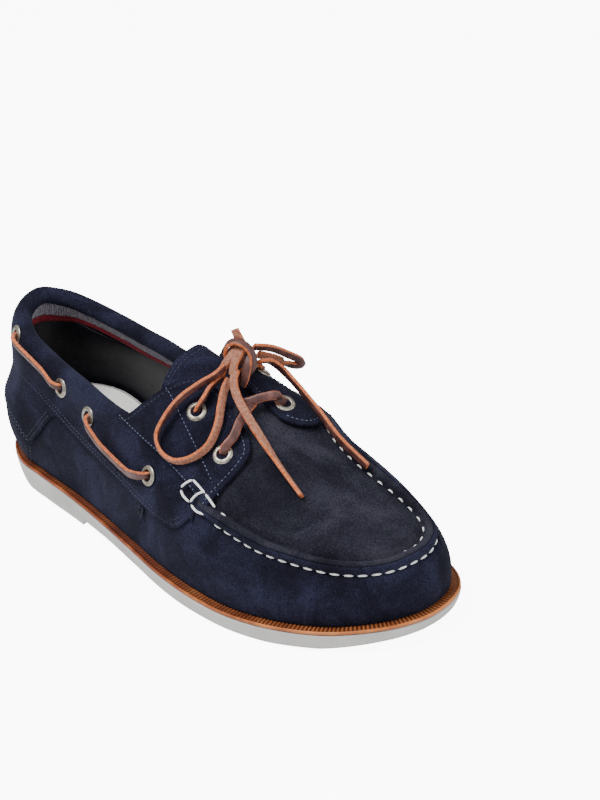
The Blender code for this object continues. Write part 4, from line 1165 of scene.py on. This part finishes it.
# %% Lining leather, woven tape and footbed
LINING, shader, place, _ = mottled(
    "smooth lining leather", {"Scale": scale_of(38.46), "Detail": 4.0},
    ((0.35, "#07070f"), (0.7, "#12121e")),
    Roughness=0.5, Specular_IOR_Level=0.3,
)
pores = add_node(LINING, "TexVoronoi", {"Vector": place, "Scale": scale_of(1.111)}).outputs[0]
relief = add_node(LINING, "Bump", {"Height": pores, "Strength": 0.25, "Distance": 0.3 * MM})
feed(shader, "Normal", relief.outputs[0])


def woven(name, dark, light, thread=0.7143):
    """A cloth whose threads, as thick as given in millimetres, are a fine noise with fuzz over it.

    Real threads are half as thick, and are drawn coarser so that they show.
    """
    noise = {"Scale": scale_of(thread), "Detail": 3.0}
    material, shader, _, threads = mottled(name, noise, ((0.35, dark), (0.65, light)), Roughness=0.85)
    relief = add_node(material, "Bump", {"Height": threads, "Strength": 0.5, "Distance": 0.4 * MM})
    feed(shader, "Normal", relief.outputs[0])
    return material


GREY_TAPE = woven("ribbed grey cotton tape", "#807c8a", "#b4b0bc")
CRIMSON_TAPE = woven("plain crimson band", "#640a1b", "#8c1229")
FOOTBED, shader, _, pores = mottled(
    "pale footbed leather", {"Scale": scale_of(2.381), "Detail": 5.0, "Roughness": 0.65},
    ((0.3, "#ebe9e5"), (0.7, "#fbfaf8")), Roughness=0.62, Specular_IOR_Level=0.35,
)
relief = add_node(FOOTBED, "Bump", {"Height": pores, "Strength": 0.2, "Distance": 0.4 * MM})
feed(shader, "Normal", relief.outputs[0])

# %% [markdown]
# The two bands are slabs on the inside of the wall. Tables give how far below the rim each one
# starts and ends, and the tape has a fine rib every millimetre and a half. The lining is a single
# thin sheet from the footbed to the bands.

# %% The lining and the tape
TAPE_TOP = ((0, 3.4), (0.42, 3.2))
TAPE_FOOT = (
    (0, 11.2), (0.046, 10.4), (0.085, 8.9), (0.13, 8.3), (0.18, 8.3), (0.233, 8.7), (0.286, 9.2),
    (0.42, 9.0),
)
CRIMSON_FOOT = (
    (0, 14.4), (0.046, 13.0), (0.085, 10.9), (0.13, 10.1), (0.18, 10.5), (0.23, 11.2), (0.42, 11.3),
)
BAND_END = 0.435


def inner_band(name, top, foot, depth, thickness, material, columns, rows, ribs=0.0):
    """A slab on the inside of the last. Top and foot are tables of millimetres below the rim."""
    station, side = round_the_heel(columns, BAND_END)
    rim = by_side(station, OPENING, side)
    share = np.linspace(0, 1, rows)
    low, high = (along_table(station, table)[:, None] for table in (top, foot))
    rise = rim[:, None] - (low + (high - low) * share[None]) / RISE_LENGTH
    station, side = down_rows(rise, station, side)
    surface, normal = last_point(station, rise, side), last_normal(station, rise, side)
    wave = ribs * np.sin(2 * math.pi * run_length(surface[:, 0]) / 1.5)[:, None]
    bulge = 0.35 * np.sin(math.pi * share)[None]
    deep = (depth[0] + (depth[1] - depth[0]) * share[None] + wave + bulge)[..., None]
    return add_slab(name, surface - normal * deep, surface - normal * (deep - thickness), material)


inner_band("grey_tape", TAPE_TOP, TAPE_FOOT, (4.3, 3.7), 0.6, GREY_TAPE, 1100, 9, ribs=0.2)
inner_band("crimson_band", TAPE_FOOT, CRIMSON_FOOT, (3.4, 3.2), 0.4, CRIMSON_TAPE, 420, 7)

station, side = round_the_heel(300, 0.66)
rim = by_side(station, OPENING, side)
top = rim - 10.0 / RISE_LENGTH * (1 - blend(station, 0.42, 0.46)) - 0.012
rise = top[:, None] * np.linspace(0, 1, 60)[None]
station, side = down_rows(rise, station, side)
surface, normal = last_point(station, rise, side), last_normal(station, rise, side)
collar = (1 - blend(station, 0.42, 0.46)) * blend(rise, rim[:, None] - 0.30, rim[:, None] - 0.12)
deep = (1.9 + 1.1 * collar)[..., None]
add_slab("leather_lining", surface - normal * deep, surface - normal * (deep - 0.25), LINING)

# %% [markdown]
# ## Footbed, welt and sole
#
# These follow the sole's outline. A ring is the outline drawn in by a margin, at a height that
# depends on the distance from the heel. The top of the footbed and the tread close the rings with
# strips from side to side.

# %% Rings inside the outline


def sole_columns(count):
    """Distances from the heel, closer together at the rounded ends: half the length (1 - cos)."""
    turn = np.linspace(0, math.pi, count + 1)
    x = SHOE_LENGTH / 2 * (1 - np.cos(turn))
    near = np.abs(x - 88) < 2.6
    return np.sort(np.concatenate([x[~near], HEEL_BREAST, (87.0, 89.0)]))


def ring_at(x, margin, height):
    """Out along the outer side and back along the inner one. Margin and height go by the distance."""
    toe = int(round(TOE_SHARE * RING_POINTS))
    outer = np.interp(x, RING[: toe + 1, 0], np.arange(toe + 1)) / RING_POINTS
    closed = np.vstack([RING, RING[:1]])
    back = closed[toe:][::-1]
    inner = (RING_POINTS - np.interp(x, back[:, 0], np.arange(len(back)))) / RING_POINTS
    outer[0], inner[0], outer[-1], inner[-1] = 0.0, 1.0, TOE_SHARE, TOE_SHARE
    share = np.concatenate([outer, inner[::-1][1:-1]])
    far = np.concatenate([x, x[::-1][1:-1]])
    plan, _ = ring_point(share, margin(far) if callable(margin) else np.full(len(share), margin))
    return np.column_stack([plan, height(far)])


def welt_top(x):
    """How high the welt's top is at a distance from the heel."""
    return along_table(x, WELT_TOP)


def sole_top(x):
    """The rubber's top lies under the welt."""
    return welt_top(x) - WELT_THICKNESS - SEAT


def sole_underside(x):
    """Straight from row to row, so the heel's front edge stays sharp."""
    rows = np.array(SOLE_UNDERSIDE, float)
    return np.interp(x, rows[:, 0], rows[:, 1])


def lid(ring_low, across_count, height):
    """A grid across the ring: each strip runs from the outer to the inner side at one distance."""
    count = len(ring_low) // 2 + 1
    outer = ring_low[:count]
    inner = np.vstack([ring_low[:1], ring_low[count:][::-1], ring_low[count - 1 : count]])
    t = np.linspace(0, 1, across_count)
    plan = outer[:, None] + (inner - outer)[:, None] * t[None, :, None]
    z = height(plan[..., 0], plan[..., 1], t[None] * np.ones((count, 1)))
    return np.concatenate([plan[..., :2], z[..., None]], -1)


def lid_index(ring_index, start, across_count):
    """Numbers a lid's grid so that its two sides are the ring's own points."""
    count = len(ring_index) // 2 + 1
    numbers = start + np.arange(count * across_count).reshape(count, across_count)
    numbers[:, 0] = ring_index[:count]
    numbers[1:-1, -1] = ring_index[count:][::-1]
    numbers[0, :] = ring_index[0]
    numbers[-1, :] = ring_index[count - 1]
    return numbers


def stacked(rings, up_strips, up_height, down_strips, down_height):
    """Rings one over another, from the lowest up, and a lid of strips at each end."""
    rings = np.stack(rings)
    index = np.arange(rings[..., 0].size).reshape(rings.shape[:2])
    side_quads = grid_quads(np.hstack([index, index[:, :1]]))
    over = lid(rings[-1], up_strips, up_height)
    under = lid(rings[0], down_strips, down_height)
    over_index = lid_index(index[-1], rings[..., 0].size, up_strips)
    under_index = lid_index(index[0], rings[..., 0].size + over[..., 0].size, down_strips)
    points = np.vstack([rings.reshape(-1, 3), over.reshape(-1, 3), under.reshape(-1, 3)])
    return points, np.vstack([side_quads, grid_quads(over_index), grid_quads(under_index)[:, ::-1]])


# %% [markdown]
# A footbed can be leather glued over a foam or cork that is thick under the heel. The top of this
# one dishes a little, and its edge rounds over in five short steps.

# %% The footbed
FOOTBED_TOP = (
    # distance from the heel, thickness over the welt, margin of the top's edge
    (0, 17.6, 3.0), (20, 17.8, 3.4), (40, 16.8, 4.6), (60, 13.2, 5.8), (84, 8.4, 6.9), (110, 5.0, 7.4),
    (140, 3.2, 7.6), (300, 3.0, 7.6),
)
# margin, then height over the welt
FOOTBED_FOOT = ((9.9, -1.6), (9.9, 0.3), (7.6, SEAT + 0.1))
# how far in from the top's edge, and how far below it
FOOTBED_EDGE = ((0.0, 1.3), (0.15, 0.7), (0.5, 0.25), (1.0, 0.05), (1.6, 0.0))
FOOTBED_STRIPS, HIDDEN_STRIPS = 41, 8


def footbed_height(px, py, t):
    """The footbed's top: its thickness over the welt, and a dish of 1.5 sin(pi t)^0.6."""
    dish = 1.5 * np.sin(math.pi * np.clip(t, 0, 1)) ** 0.6
    return welt_top(px) + SEAT + along_table(px, FOOTBED_TOP) - dish


def footbed_underside(px, py, t):
    return welt_top(px) + FOOTBED_FOOT[0][1]


x = sole_columns(150)
rings = [ring_at(x, margin, lambda far: welt_top(far) + height) for margin, height in FOOTBED_FOOT]
for inset, drop in FOOTBED_EDGE:
    rings.append(ring_at(
        x, lambda far: along_table(far, FOOTBED_TOP, 2) + inset, lambda far: footbed_height(far, 0, 0) - drop
    ))
points, quads = stacked(rings, FOOTBED_STRIPS, footbed_height, HIDDEN_STRIPS, footbed_underside)
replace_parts(add_piece("footbed", points, quads, FOOTBED), "insole")

# %% [markdown]
# The welt is tan leather. A wheel has pressed small ribs into its top, two millimetres apart, and its
# outer lip stays smooth. Its colour is darker along the sides than at the toe, and painted shade
# darkens the ribbed band beside the wall, most of all in the valleys between the ribs.

# %% Welt leather
WELT_LEATHER, shader = new_material("tan welt leather", Roughness=0.48, Specular_IOR_Level=0.45)
place = add_node(WELT_LEATHER, "TexCoord").outputs["Object"]
cloud = add_node(WELT_LEATHER, "TexNoise", {"Vector": place, "Scale": scale_of(11.11), "Detail": 4.0})
along = add_node(WELT_LEATHER, "SeparateXYZ", {"Vector": place}).outputs["X"]
to_toe = add_node(WELT_LEATHER, "MapRange", {"Value": along, 1: -0.02, 2: 0.12, 3: 0.0, 4: 0.32})
mixed = add_node(WELT_LEATHER, "Math", {0: cloud.outputs[0], 1: to_toe.outputs[0]}, operation="ADD")
stops = ((0.3, "#662c18"), (0.55, "#8e451f"), (0.95, "#cf7d42"))
tint = add_node(WELT_LEATHER, "ValToRGB", {"Fac": mixed.outputs[0]}, stops)
# Painted shade: the number groove mixes the tan towards near black over the ribbed band, most in the rib
# valleys.
groove = add_node(WELT_LEATHER, "Attribute", attribute_name="groove").outputs["Fac"]
wear_and_shade = add_node(
    WELT_LEATHER, "Mix", {0: groove, 6: tint.outputs["Color"], 7: linear("#33130b")}, data_type="RGBA"
)
relief = {"Height": cloud.outputs[0], "Strength": 0.2, "Distance": 0.4 * MM}
feed(shader, "Base Color", wear_and_shade.outputs[2])
feed(shader, "Normal", add_node(WELT_LEATHER, "Bump", relief).outputs[0])

# %% [markdown]
# The ribs are a cosine along the outline, sharpened a little, so that a rib is narrower than the
# valley beside it. The ribbed band also carries the number for painted shade: partial over the band
# beside the wall, and full in the valleys.

# %% The welt
RIB_PITCH = 2.1
POINTS_PER_RIB = 8
girth = run_length(np.vstack([RING, RING[:1]]))[-1]
ribs = round(girth / RIB_PITCH)
print("the welt has", ribs, "ribs on its", round(girth), "mm")
share = np.arange(ribs * POINTS_PER_RIB) / (ribs * POINTS_PER_RIB)
wave = (0.5 + 0.5 * np.cos(2 * math.pi * ribs * share)) ** 1.6
WELT_SECTION = (
    # millimetres in from the edge, height from the welt's top, share of the ribs
    (9.3, -1.7, 0), (0.5, -1.7, 0), (0.12, -1.45, 0), (0.0, -1.05, 0), (0.05, -0.5, 0), (0.3, -0.12, 0),
    (0.75, 0.0, 0), (1.15, -0.1, 0.3), (1.5, -0.2, 1), (2.5, 0.0, 1), (3.4, 0.0, 1), (4.4, 0.0, 1),
    (5.4, -0.05, 0.4), (9.3, -0.1, 0),
)
rings, groove_shade = [], []
for inset, height, ribbed in WELT_SECTION:
    plan, _ = ring_point(share, np.full(len(share), inset))
    z = welt_top(plan[:, 0]) + height - 0.75 * ribbed * wave
    rings.append(np.column_stack([plan, z]))
    # Painted shade: 0.42 over the ribbed band beside the wall, rising to 1 in each valley between the ribs.
    groove_shade.append((0.42 + 0.58 * wave) * (ribbed > 0.25))
welt = add_piece(
    "ribbed_welt", np.stack(rings), ring_quads(len(rings), len(share)), WELT_LEATHER,
    {"groove": np.stack(groove_shade)},
)
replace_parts(welt, "welt")

# %% [markdown]
# The sole is off-white rubber out of a mould: smooth at the side, with a satin face that takes a
# little dust. Below, thin wavy cuts open under the foot's weight and wipe the wet deck dry. They
# are cut 0.9 mm deep, 6 mm apart, and stop short of the edge.

# %% The rubber sole
RUBBER, shader, place, _ = mottled(
    "off-white moulded rubber", {"Scale": scale_of(25.0), "Detail": 6.0, "Roughness": 0.6},
    ((0.3, "#bcbab8"), (0.7, "#d2d1cf")), Roughness=0.5, Specular_IOR_Level=0.4,
)
mould = add_node(RUBBER, "TexNoise", {"Vector": place, "Scale": scale_of(1.4286), "Detail": 2.0})
relief = add_node(RUBBER, "Bump", {"Height": mould.outputs[0], "Strength": 0.12, "Distance": 0.3 * MM})
feed(shader, "Normal", relief.outputs[0])

SOLE_WALL = (
    # share of the height, margin
    (1.0, 0.6), (0.995, 0.25), (0.97, 0.05), (0.93, 0.0), (0.85, 0.12), (0.7, 0.45), (0.55, 0.85),
    (0.4, 1.3), (0.25, 1.85), (0.14, 2.3), (0.06, 2.75), (0.02, 3.2), (0.0, 3.7),
)
SIPE_PITCH = 6.0
TREAD_STRIPS = 56


def tread_height(px, py, t):
    """Wavy cuts: the distance from the lines x + 1.6 sin(y / 3) = 6 k, cut 0.9 mm deep."""
    phase = (px + 1.6 * np.sin(py / 3.0)) / SIPE_PITCH
    near = np.abs(phase - np.round(phase)) * SIPE_PITCH
    cut = 0.9 * (1 - blend(near, 0.25, 0.6))
    inside = blend(t, 0.07, 0.075) * (1 - blend(t, 0.925, 0.93))
    flat = (1 - blend(np.abs(px - 88), 6, 7)) * -1 + 1
    ends = blend(px, 12, 12.5) * (1 - blend(px, 282, 282.5))
    return sole_underside(px) + cut * inside * flat * ends


x = np.sort(np.concatenate([sole_columns(60), np.arange(8, 290, 0.6)]))
rings = [
    ring_at(x, margin, lambda far: sole_underside(far) + part * (sole_top(far) - sole_underside(far)))
    for part, margin in reversed(SOLE_WALL)
]
points, quads = stacked(rings, HIDDEN_STRIPS, lambda px, py, t: sole_top(px), TREAD_STRIPS, tread_height)
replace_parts(add_piece("rubber_sole", points, quads, RUBBER), "outsole")

# %% [markdown]
# ## Eyelets
#
# An eyelet is stamped from thin nickel-plated brass, tumbled until it looks old. Its flange is a
# shallow dome with a ring of small beads, and its barrel goes down through the wall.

# %% Antique nickel
NICKEL, shader, _, tarnish = mottled(
    "antique nickel plate", {"Scale": scale_of(2.381), "Detail": 5.0, "Roughness": 0.6},
    ((0.3, "#665f54"), (0.5, "#aaa498"), (0.75, "#d0ccc2")), Metallic=1.0,
)
rough = add_node(NICKEL, "MapRange", {"Value": tarnish, 1: 0.3, 2: 0.7, 3: 0.5, 4: 0.34})
feed(shader, "Roughness", rough.outputs[0])

# %% [markdown]
# One profile is turned round its axis for all twelve. The beads are 30 waves of a cosine on the
# flange, and a small frame of three axes sets each eyelet square on the wall.

# %% The eyelets
EYELET_PROFILE = np.array((
    # radius, height over the panel, from inside the barrel over the flange and back
    (2.7, -3.5), (2.7, -1.2), (2.72, 0.2), (2.85, 0.7), (3.1, 0.95), (3.4, 1.0), (3.75, 0.86),
    (4.1, 0.74), (4.5, 0.66), (4.85, 0.5), (5.1, 0.25), (5.2, 0.0), (5.05, -0.05), (3.2, -0.1),
    (3.15, -1.2), (3.15, -3.5),
))
BEADS = 30
EYELET_TURNS = 120
turn = np.linspace(0, 2 * math.pi, EYELET_TURNS, endpoint=False)[:, None]
radius, height = EYELET_PROFILE.T[:, None]
bead = 0.3 * np.exp(-(((radius - 4.3) / 0.35) ** 2)) * (height > 0.3) * (0.5 + 0.5 * np.cos(BEADS * turn))
eyelet_local = np.stack([radius * np.cos(turn), radius * np.sin(turn), height + bead], -1)
eyelet_quads = ring_quads(EYELET_TURNS, len(EYELET_PROFILE))
print(2 * len(EYELETS), "eyelets,", 2 * EYELET_PROFILE[:, 0].max(), "mm across")


def frame_on_last(station, rise, side, lift):
    """A place on the wall and three axes: towards the toe, across it, and out of the wall."""
    at, way = last_point(station, rise, side), last_normal(station, rise, side)
    along = last_point(station + 0.01, rise, side) - at
    along = unit(along - way * (along @ way))
    return at + way * lift, np.array([along, np.cross(way, along), way])


PANEL_STEP = 1.8
for name in EYELETS:
    for word in SIDES:
        station, rise, side, stand = eyelet_at(name, word)
        place, axes = frame_on_last(station, rise, side, PANEL_STEP + stand - 0.1)
        name_here = name + "_" + word
        ring = add_piece("nickel_" + name_here, eyelet_local @ axes + place, eyelet_quads, NICKEL)
        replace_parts(ring, "eyelet_" + name_here)

# %% [markdown]
# ## Stitches
#
# The fine rows are navy polyester, and the wings' rows are a paler grey-blue one. The toe seam is
# thick waxed cotton, whose twist shows as a wave in its relief.

# %% The threads' materials


def polyester(name, dark, light):
    """A thin machine thread. Its twist is too fine to see, so a noise of 1.4 mm stands for it."""
    return mottled(name, {"Scale": scale_of(1.4286)}, ((0.3, dark), (0.7, light)), Roughness=0.65)[0]


FINE_THREAD = polyester("navy polyester thread", "#1d2132", "#3a4058")
PALE_THREAD = polyester("grey-blue polyester thread", "#3c425a", "#6d7590")
WHITE_THREAD, shader = new_material("waxed white cotton thread", Roughness=0.62, Sheen_Weight=0.2)
place = add_node(WHITE_THREAD, "TexCoord").outputs["Object"]
# A wave texture has 20 radians to its scale, so this one repeats every 0.748 mm, as the plies do.
wave = {"Vector": place, "Scale": math.pi / 10 * scale_of(0.748), "Distortion": 3.0, "Detail": 2.0}
twist = add_node(WHITE_THREAD, "TexWave", wave).outputs[0]
tint = add_node(WHITE_THREAD, "ValToRGB", {"Fac": twist}, ((0.2, "#f4f3f1"), (0.8, "#ffffff")))
relief = add_node(WHITE_THREAD, "Bump", {"Height": twist, "Strength": 0.5, "Distance": 0.2 * MM})
feed(shader, "Base Color", tint.outputs["Color"])
feed(shader, "Normal", relief.outputs[0])

# %% [markdown]
# A stitch is a short length of thread that dives into the suede at both ends. Each is a small
# capsule: five rings of points along its length, its ends lower than its middle. All the stitches
# of a row are worked out at once, and all the rows of one thread make one piece.

# %% From a row to its stitches
# along the stitch by its length, then the ring's size and its height by half the thread
CAPSULE = ((-0.5, 0.2, -0.6), (-0.32, 0.8, 0.0), (0.0, 1.0, 0.3), (0.32, 0.8, 0.0), (0.5, 0.2, -0.6))


def sew(name, rows, pitch, length, thread, material, around=6, phase=0.5):
    """One piece with every stitch on the rows. A row is a path and the ways out along it."""
    centres, alongs, ways = [], [], []
    for path, way in rows:
        run = run_length(path)
        at = np.arange(phase * pitch, run[-1] - 0.3 * pitch, pitch)
        centres.append(sampled(at, run, path))
        alongs.append(unit(sampled(at, run, np.gradient(path, axis=0))))
        ways.append(unit(sampled(at, run, way)))
    centre, along, way = (np.vstack(a)[:, None, None] for a in (centres, alongs, ways))
    across = np.cross(along, way)
    slide, size, lift = np.array(CAPSULE).T[:, :, None]
    angle = 2 * math.pi * np.arange(around) / around
    spread = np.cos(angle) * size * thread / 2
    height = (np.sin(angle) * size + lift) * thread / 2
    slide = np.broadcast_to(slide * length, spread.shape)
    points = centre + along * slide[..., None] + across * spread[..., None] + way * height[..., None]
    steps = np.arange(len(points)) * spread.size
    quads = tube_quads(len(CAPSULE), around)[None] + steps[:, None, None]
    add_piece(name, points, quads.reshape(-1, 4), material)
    print(name, "has", len(points), "stitches")


def last_row(station, rise, side, lift):
    """A row on the last at a height over it: its path, and the way out at each point."""
    station, rise, side = np.broadcast_arrays(station, rise, float(side))
    surface = last_point(station, rise, side)
    way = last_normal(station, rise, side)
    height = lift + crease_height(station, rise, side, surface)
    return surface + way * height[..., None], way


def inset_row(station, rise, side, lift, inset):
    """A row beside an edge, moved square to it along the surface: up, for a row towards the toe."""
    path, way = last_row(station, rise, side, lift)
    tangent = unit(np.gradient(path, axis=0))
    return path + np.cross(way, tangent) * inset * -side, way


def table_row(points, side, lift, count=160):
    """A row through a few listed places, each a station and a rise."""
    places = evenly(smooth_curve(np.array(points), 16), count)
    return last_row(places[:, 0], places[:, 1], side, lift)


# %% [markdown]
# Two rows run along each lower edge, 2 mm and a little over 4 mm in. The wing has a row at its
# front, one under its top edge, one at its lower edge, and one across its middle. Two short rows
# run down to the welt from the lowest point of the heel patch.

# %% The rows of fine and pale stitches
WING_ROW_INSET = 3.0
MIDDLE_ROWS = {
    -1.0: (
        (0.480, 0.735), (0.495, 0.729), (0.545, 0.686), (0.595, 0.637), (0.622, 0.603), (0.648, 0.566),
    ),
    1.0: ((0.462, 0.58), (0.480, 0.64), (0.54, 0.66), (0.59, 0.66), (0.64, 0.66)),
}
fine_rows, pale_rows = [], []
fine = np.linspace(0, 1, 400)
for word, side in SIDES.items():
    station = fine * 0.598
    edge = by_side(station, PANEL_EDGE, side)
    for inset in (2.0, 4.3):
        fine_rows.append(inset_row(station, edge, side, 1.4, inset))
    station = np.linspace(0, HEEL_PATCH_END - 0.012, 200)
    for inset in (2.0, 4.2):
        fine_rows.append(inset_row(station, along_table(station, HEEL_PATCH), side, 1.25, inset))
    station, rise, u, t = wing_grid(side)
    front_lift = 2.15 + wing_flare(1 - WING_ROW_INSET / WING_LENGTH, t[-1], side)
    pale_rows.append(inset_row(station[-1], rise[-1], side, front_lift, WING_ROW_INSET))
    fine_rows.append(inset_row(station[4:-10, -1], rise[4:-10, -1], side, 2.15, -2.5))
    pale_rows.append(inset_row(station[:, 0], rise[:, 0], side, 2.2, 1.2))
    pale_rows.append(table_row(MIDDLE_ROWS[side], side, 2.25 + 0.4 * np.linspace(0, 1, 160) ** 6))
    for offset in (-0.006, 0.006):
        fine_rows.append(table_row(((0.172 + offset, 0.105), (0.160 + offset, 0.012)), side, 0.05, 40))

ends = slice(14, -14)
tongue_face = tongue_surface + tongue_normal * (tongue_lift - 0.1)[..., None]
for inset in TONGUE_ROWS:
    column = -1 - int(np.argmin(np.abs(run_length(tongue_surface[50, ::-1]) - inset)))
    fine_rows.append((tongue_face[ends, column], tongue_normal[ends, column]))

sew("fine_stitches", fine_rows, 2.4, 1.7, 0.55, FINE_THREAD)
sew("wing_stitches", pale_rows, 2.4, 1.7, 0.55, PALE_THREAD)

# %% [markdown]
# The toe seam is sewn by hand with thick white thread. The thread goes through both walls of the
# ridge, so it shows as dashes outside and as shorter dashes inside. Where it starts, it wraps
# round the wing's corner as a square.

# %% The white seam
seam_rows, inner_rows = [], []
for side in (-1.0, 1.0):
    station = np.linspace(0.640, 1.0, 300)
    buried = 0.9 * blend(station, 0.668, 0.674) * (1 - blend(station, 0.97, 0.985)) * (side < 0)
    outside, inside = (seam_offset(station, side, offset)[::-1] for offset in (-3.2, 3.1 - buried))
    seam_rows.append(last_row(station[::-1], outside, side, 0.5))
    inner_rows.append(last_row(station[::-1], inside, side, -2 * buried[::-1]))
sew("white_seam_outside", seam_rows, STITCH_PITCH, 4.8, 1.35, WHITE_THREAD, around=10, phase=0.0)
sew("white_seam_inside", inner_rows, STITCH_PITCH, 3.2, 0.95, WHITE_THREAD, around=10, phase=0.0)

# %% [markdown]
# The square at the seam's start is six short lengths of the same thread on each side. They are
# round all along and thin out at both ends, where they dive into the suede.

# %% The seam's start
BOX_THREADS = (
    ((0.580, 0.462), (0.587, 0.496), (0.595, 0.530)),
    ((0.596, 0.533), (0.611, 0.533), (0.625, 0.527)),
    ((0.581, 0.450), (0.590, 0.440), (0.602, 0.436)),
    ((0.604, 0.440), (0.612, 0.490), (0.622, 0.532)),
    ((0.626, 0.526), (0.638, 0.520), (0.650, 0.508)),
    ((0.607, 0.433), (0.620, 0.428), (0.638, 0.446)),
)


THREAD_RINGS, THREAD_AROUND = 24, 10
INNER_BOX_RISE = 0.075


def thread_along(places, side, lift, thread):
    """A round thread through places on the wall. It rises by sin(pi u) / 2 between its ends."""
    path, way = table_row(places, side, lift, THREAD_RINGS)
    u = np.linspace(0, 1, THREAD_RINGS)
    path = path + way * (0.5 * np.sin(math.pi * u) - 0.3)[:, None]
    along = unit(np.gradient(path, axis=0))
    across, way = np.cross(along, way)[:, None], way[:, None]
    angle = 2 * math.pi * np.arange(THREAD_AROUND)[:, None] / THREAD_AROUND
    size = thread / 2 * np.clip(np.sin(math.pi * u) * 5, 0.3, 1)[:, None, None]
    return path[:, None] + size * (across * np.cos(angle) + way * np.sin(angle))


rings = []
for side in (-1.0, 1.0):
    for places in BOX_THREADS:
        shifted = [(s, v + INNER_BOX_RISE * (side > 0)) for s, v in places]
        rings.append(thread_along(shifted, side, 2.9, 1.2))
one = tube_quads(THREAD_RINGS, THREAD_AROUND)
quads = np.vstack([one + k * THREAD_RINGS * THREAD_AROUND for k in range(len(rings))])
add_piece("white_seam_start", np.stack(rings), quads, WHITE_THREAD)

# %% [markdown]
# ## The side tab
#
# A small plain tab of woven cloth is sewn under the collar panel's lower edge on the outer side. It
# is a little slab with rounded edges and a slight wave.

# %% The plain side tab
TAB_STATION = 0.490
TAB_SIZE = np.array((4.2, 6.0, 0.9))
rise = float(by_side(TAB_STATION, PANEL_EDGE, -1.0)) - 0.034
place, axes = frame_on_last(TAB_STATION, rise, -1.0, SEAT + TAB_SIZE[2] / 2)
u, v = np.meshgrid(shares(8, TAB_SIZE[0]), shares(10, TAB_SIZE[1]), indexing="ij")
flat = np.stack([(u - 0.5) * TAB_SIZE[0], (v - 0.5) * TAB_SIZE[1], 0.12 * np.sin(6 * v)], -1)
thick = 0.42 * rounded(steps_to_edge(flat), 0.4) + 0.02
skins = [(flat + np.stack([0 * thick, 0 * thick, way * thick], -1)) @ axes + place for way in (1, -1)]
TAB_CLOTH = woven("plain navy tab", "#1b1c2b", "#2e3044", 0.8333)
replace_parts(add_slab("plain_tab", *skins, TAB_CLOTH), "side_tab")

# %% [markdown]
# ## Floor and light
#
# The shoe stands on white paper that runs out into a white background. The paper and the sky look
# brighter to the camera than they are to the shoe, so they stay white while the suede keeps its
# dark. One large lamp hangs above the outer side, and a weaker one stands beyond the toe.

# %% Floor and light
floor_mesh = bpy.data.meshes.new("floor")
floor_mesh.from_pydata([(-3, -3, 0), (3, -3, 0), (3, 3, 0), (-3, 3, 0)], [], [(0, 1, 2, 3)])
floor = bpy.data.objects.new("floor", floor_mesh)
bpy.context.scene.collection.objects.link(floor)
paper, shader = new_material(
    "matt white paper", Base_Color=linear("#fafafa"), Roughness=0.9, Emission_Color=(1.0, 1.0, 1.0, 1.0)
)
seen = add_node(paper, "LightPath").outputs["Is Camera Ray"]
glow = add_node(paper, "Math", {0: seen, 1: 9.0}, operation="MULTIPLY")
feed(shader, "Emission Strength", glow.outputs[0])
floor_mesh.materials.append(paper)

world = bpy.data.worlds.new("studio")
world.use_nodes = True
world.node_tree.nodes["Background"].inputs["Color"].default_value = (1, 1, 1, 1)
direct = add_node(world, "LightPath").outputs["Is Camera Ray"]
strength = add_node(world, "Math", {0: direct, 1: 12.0, 2: 0.55}, operation="MULTIPLY_ADD")
feed(world.node_tree.nodes["Background"], "Strength", strength.outputs[0])
bpy.context.scene.world = world


def softbox(name, place, aim, size, power):
    """A round lamp, its size in metres and its power in watts, that looks from its place at an aim."""
    light = bpy.data.lights.new(name, "AREA")
    light.shape = "DISK"
    light.size = size
    light.energy = power
    obj = bpy.data.objects.new(name, light)
    back = unit(np.array(place, float) - np.array(aim, float))
    across = unit(np.cross((0, 0, 1), back))
    frame_axes = np.column_stack([across, np.cross(back, across), back])
    obj.matrix_world = Matrix.Translation(place) @ Matrix(frame_axes.tolist()).to_4x4()
    bpy.context.scene.collection.objects.link(obj)


softbox("key", (-0.1, -0.5, 1.3), (0, 0, 0.05), 0.7, 20)
softbox("fill", (1.2, 0.6, 0.9), (0, 0, 0.05), 0.9, 8)
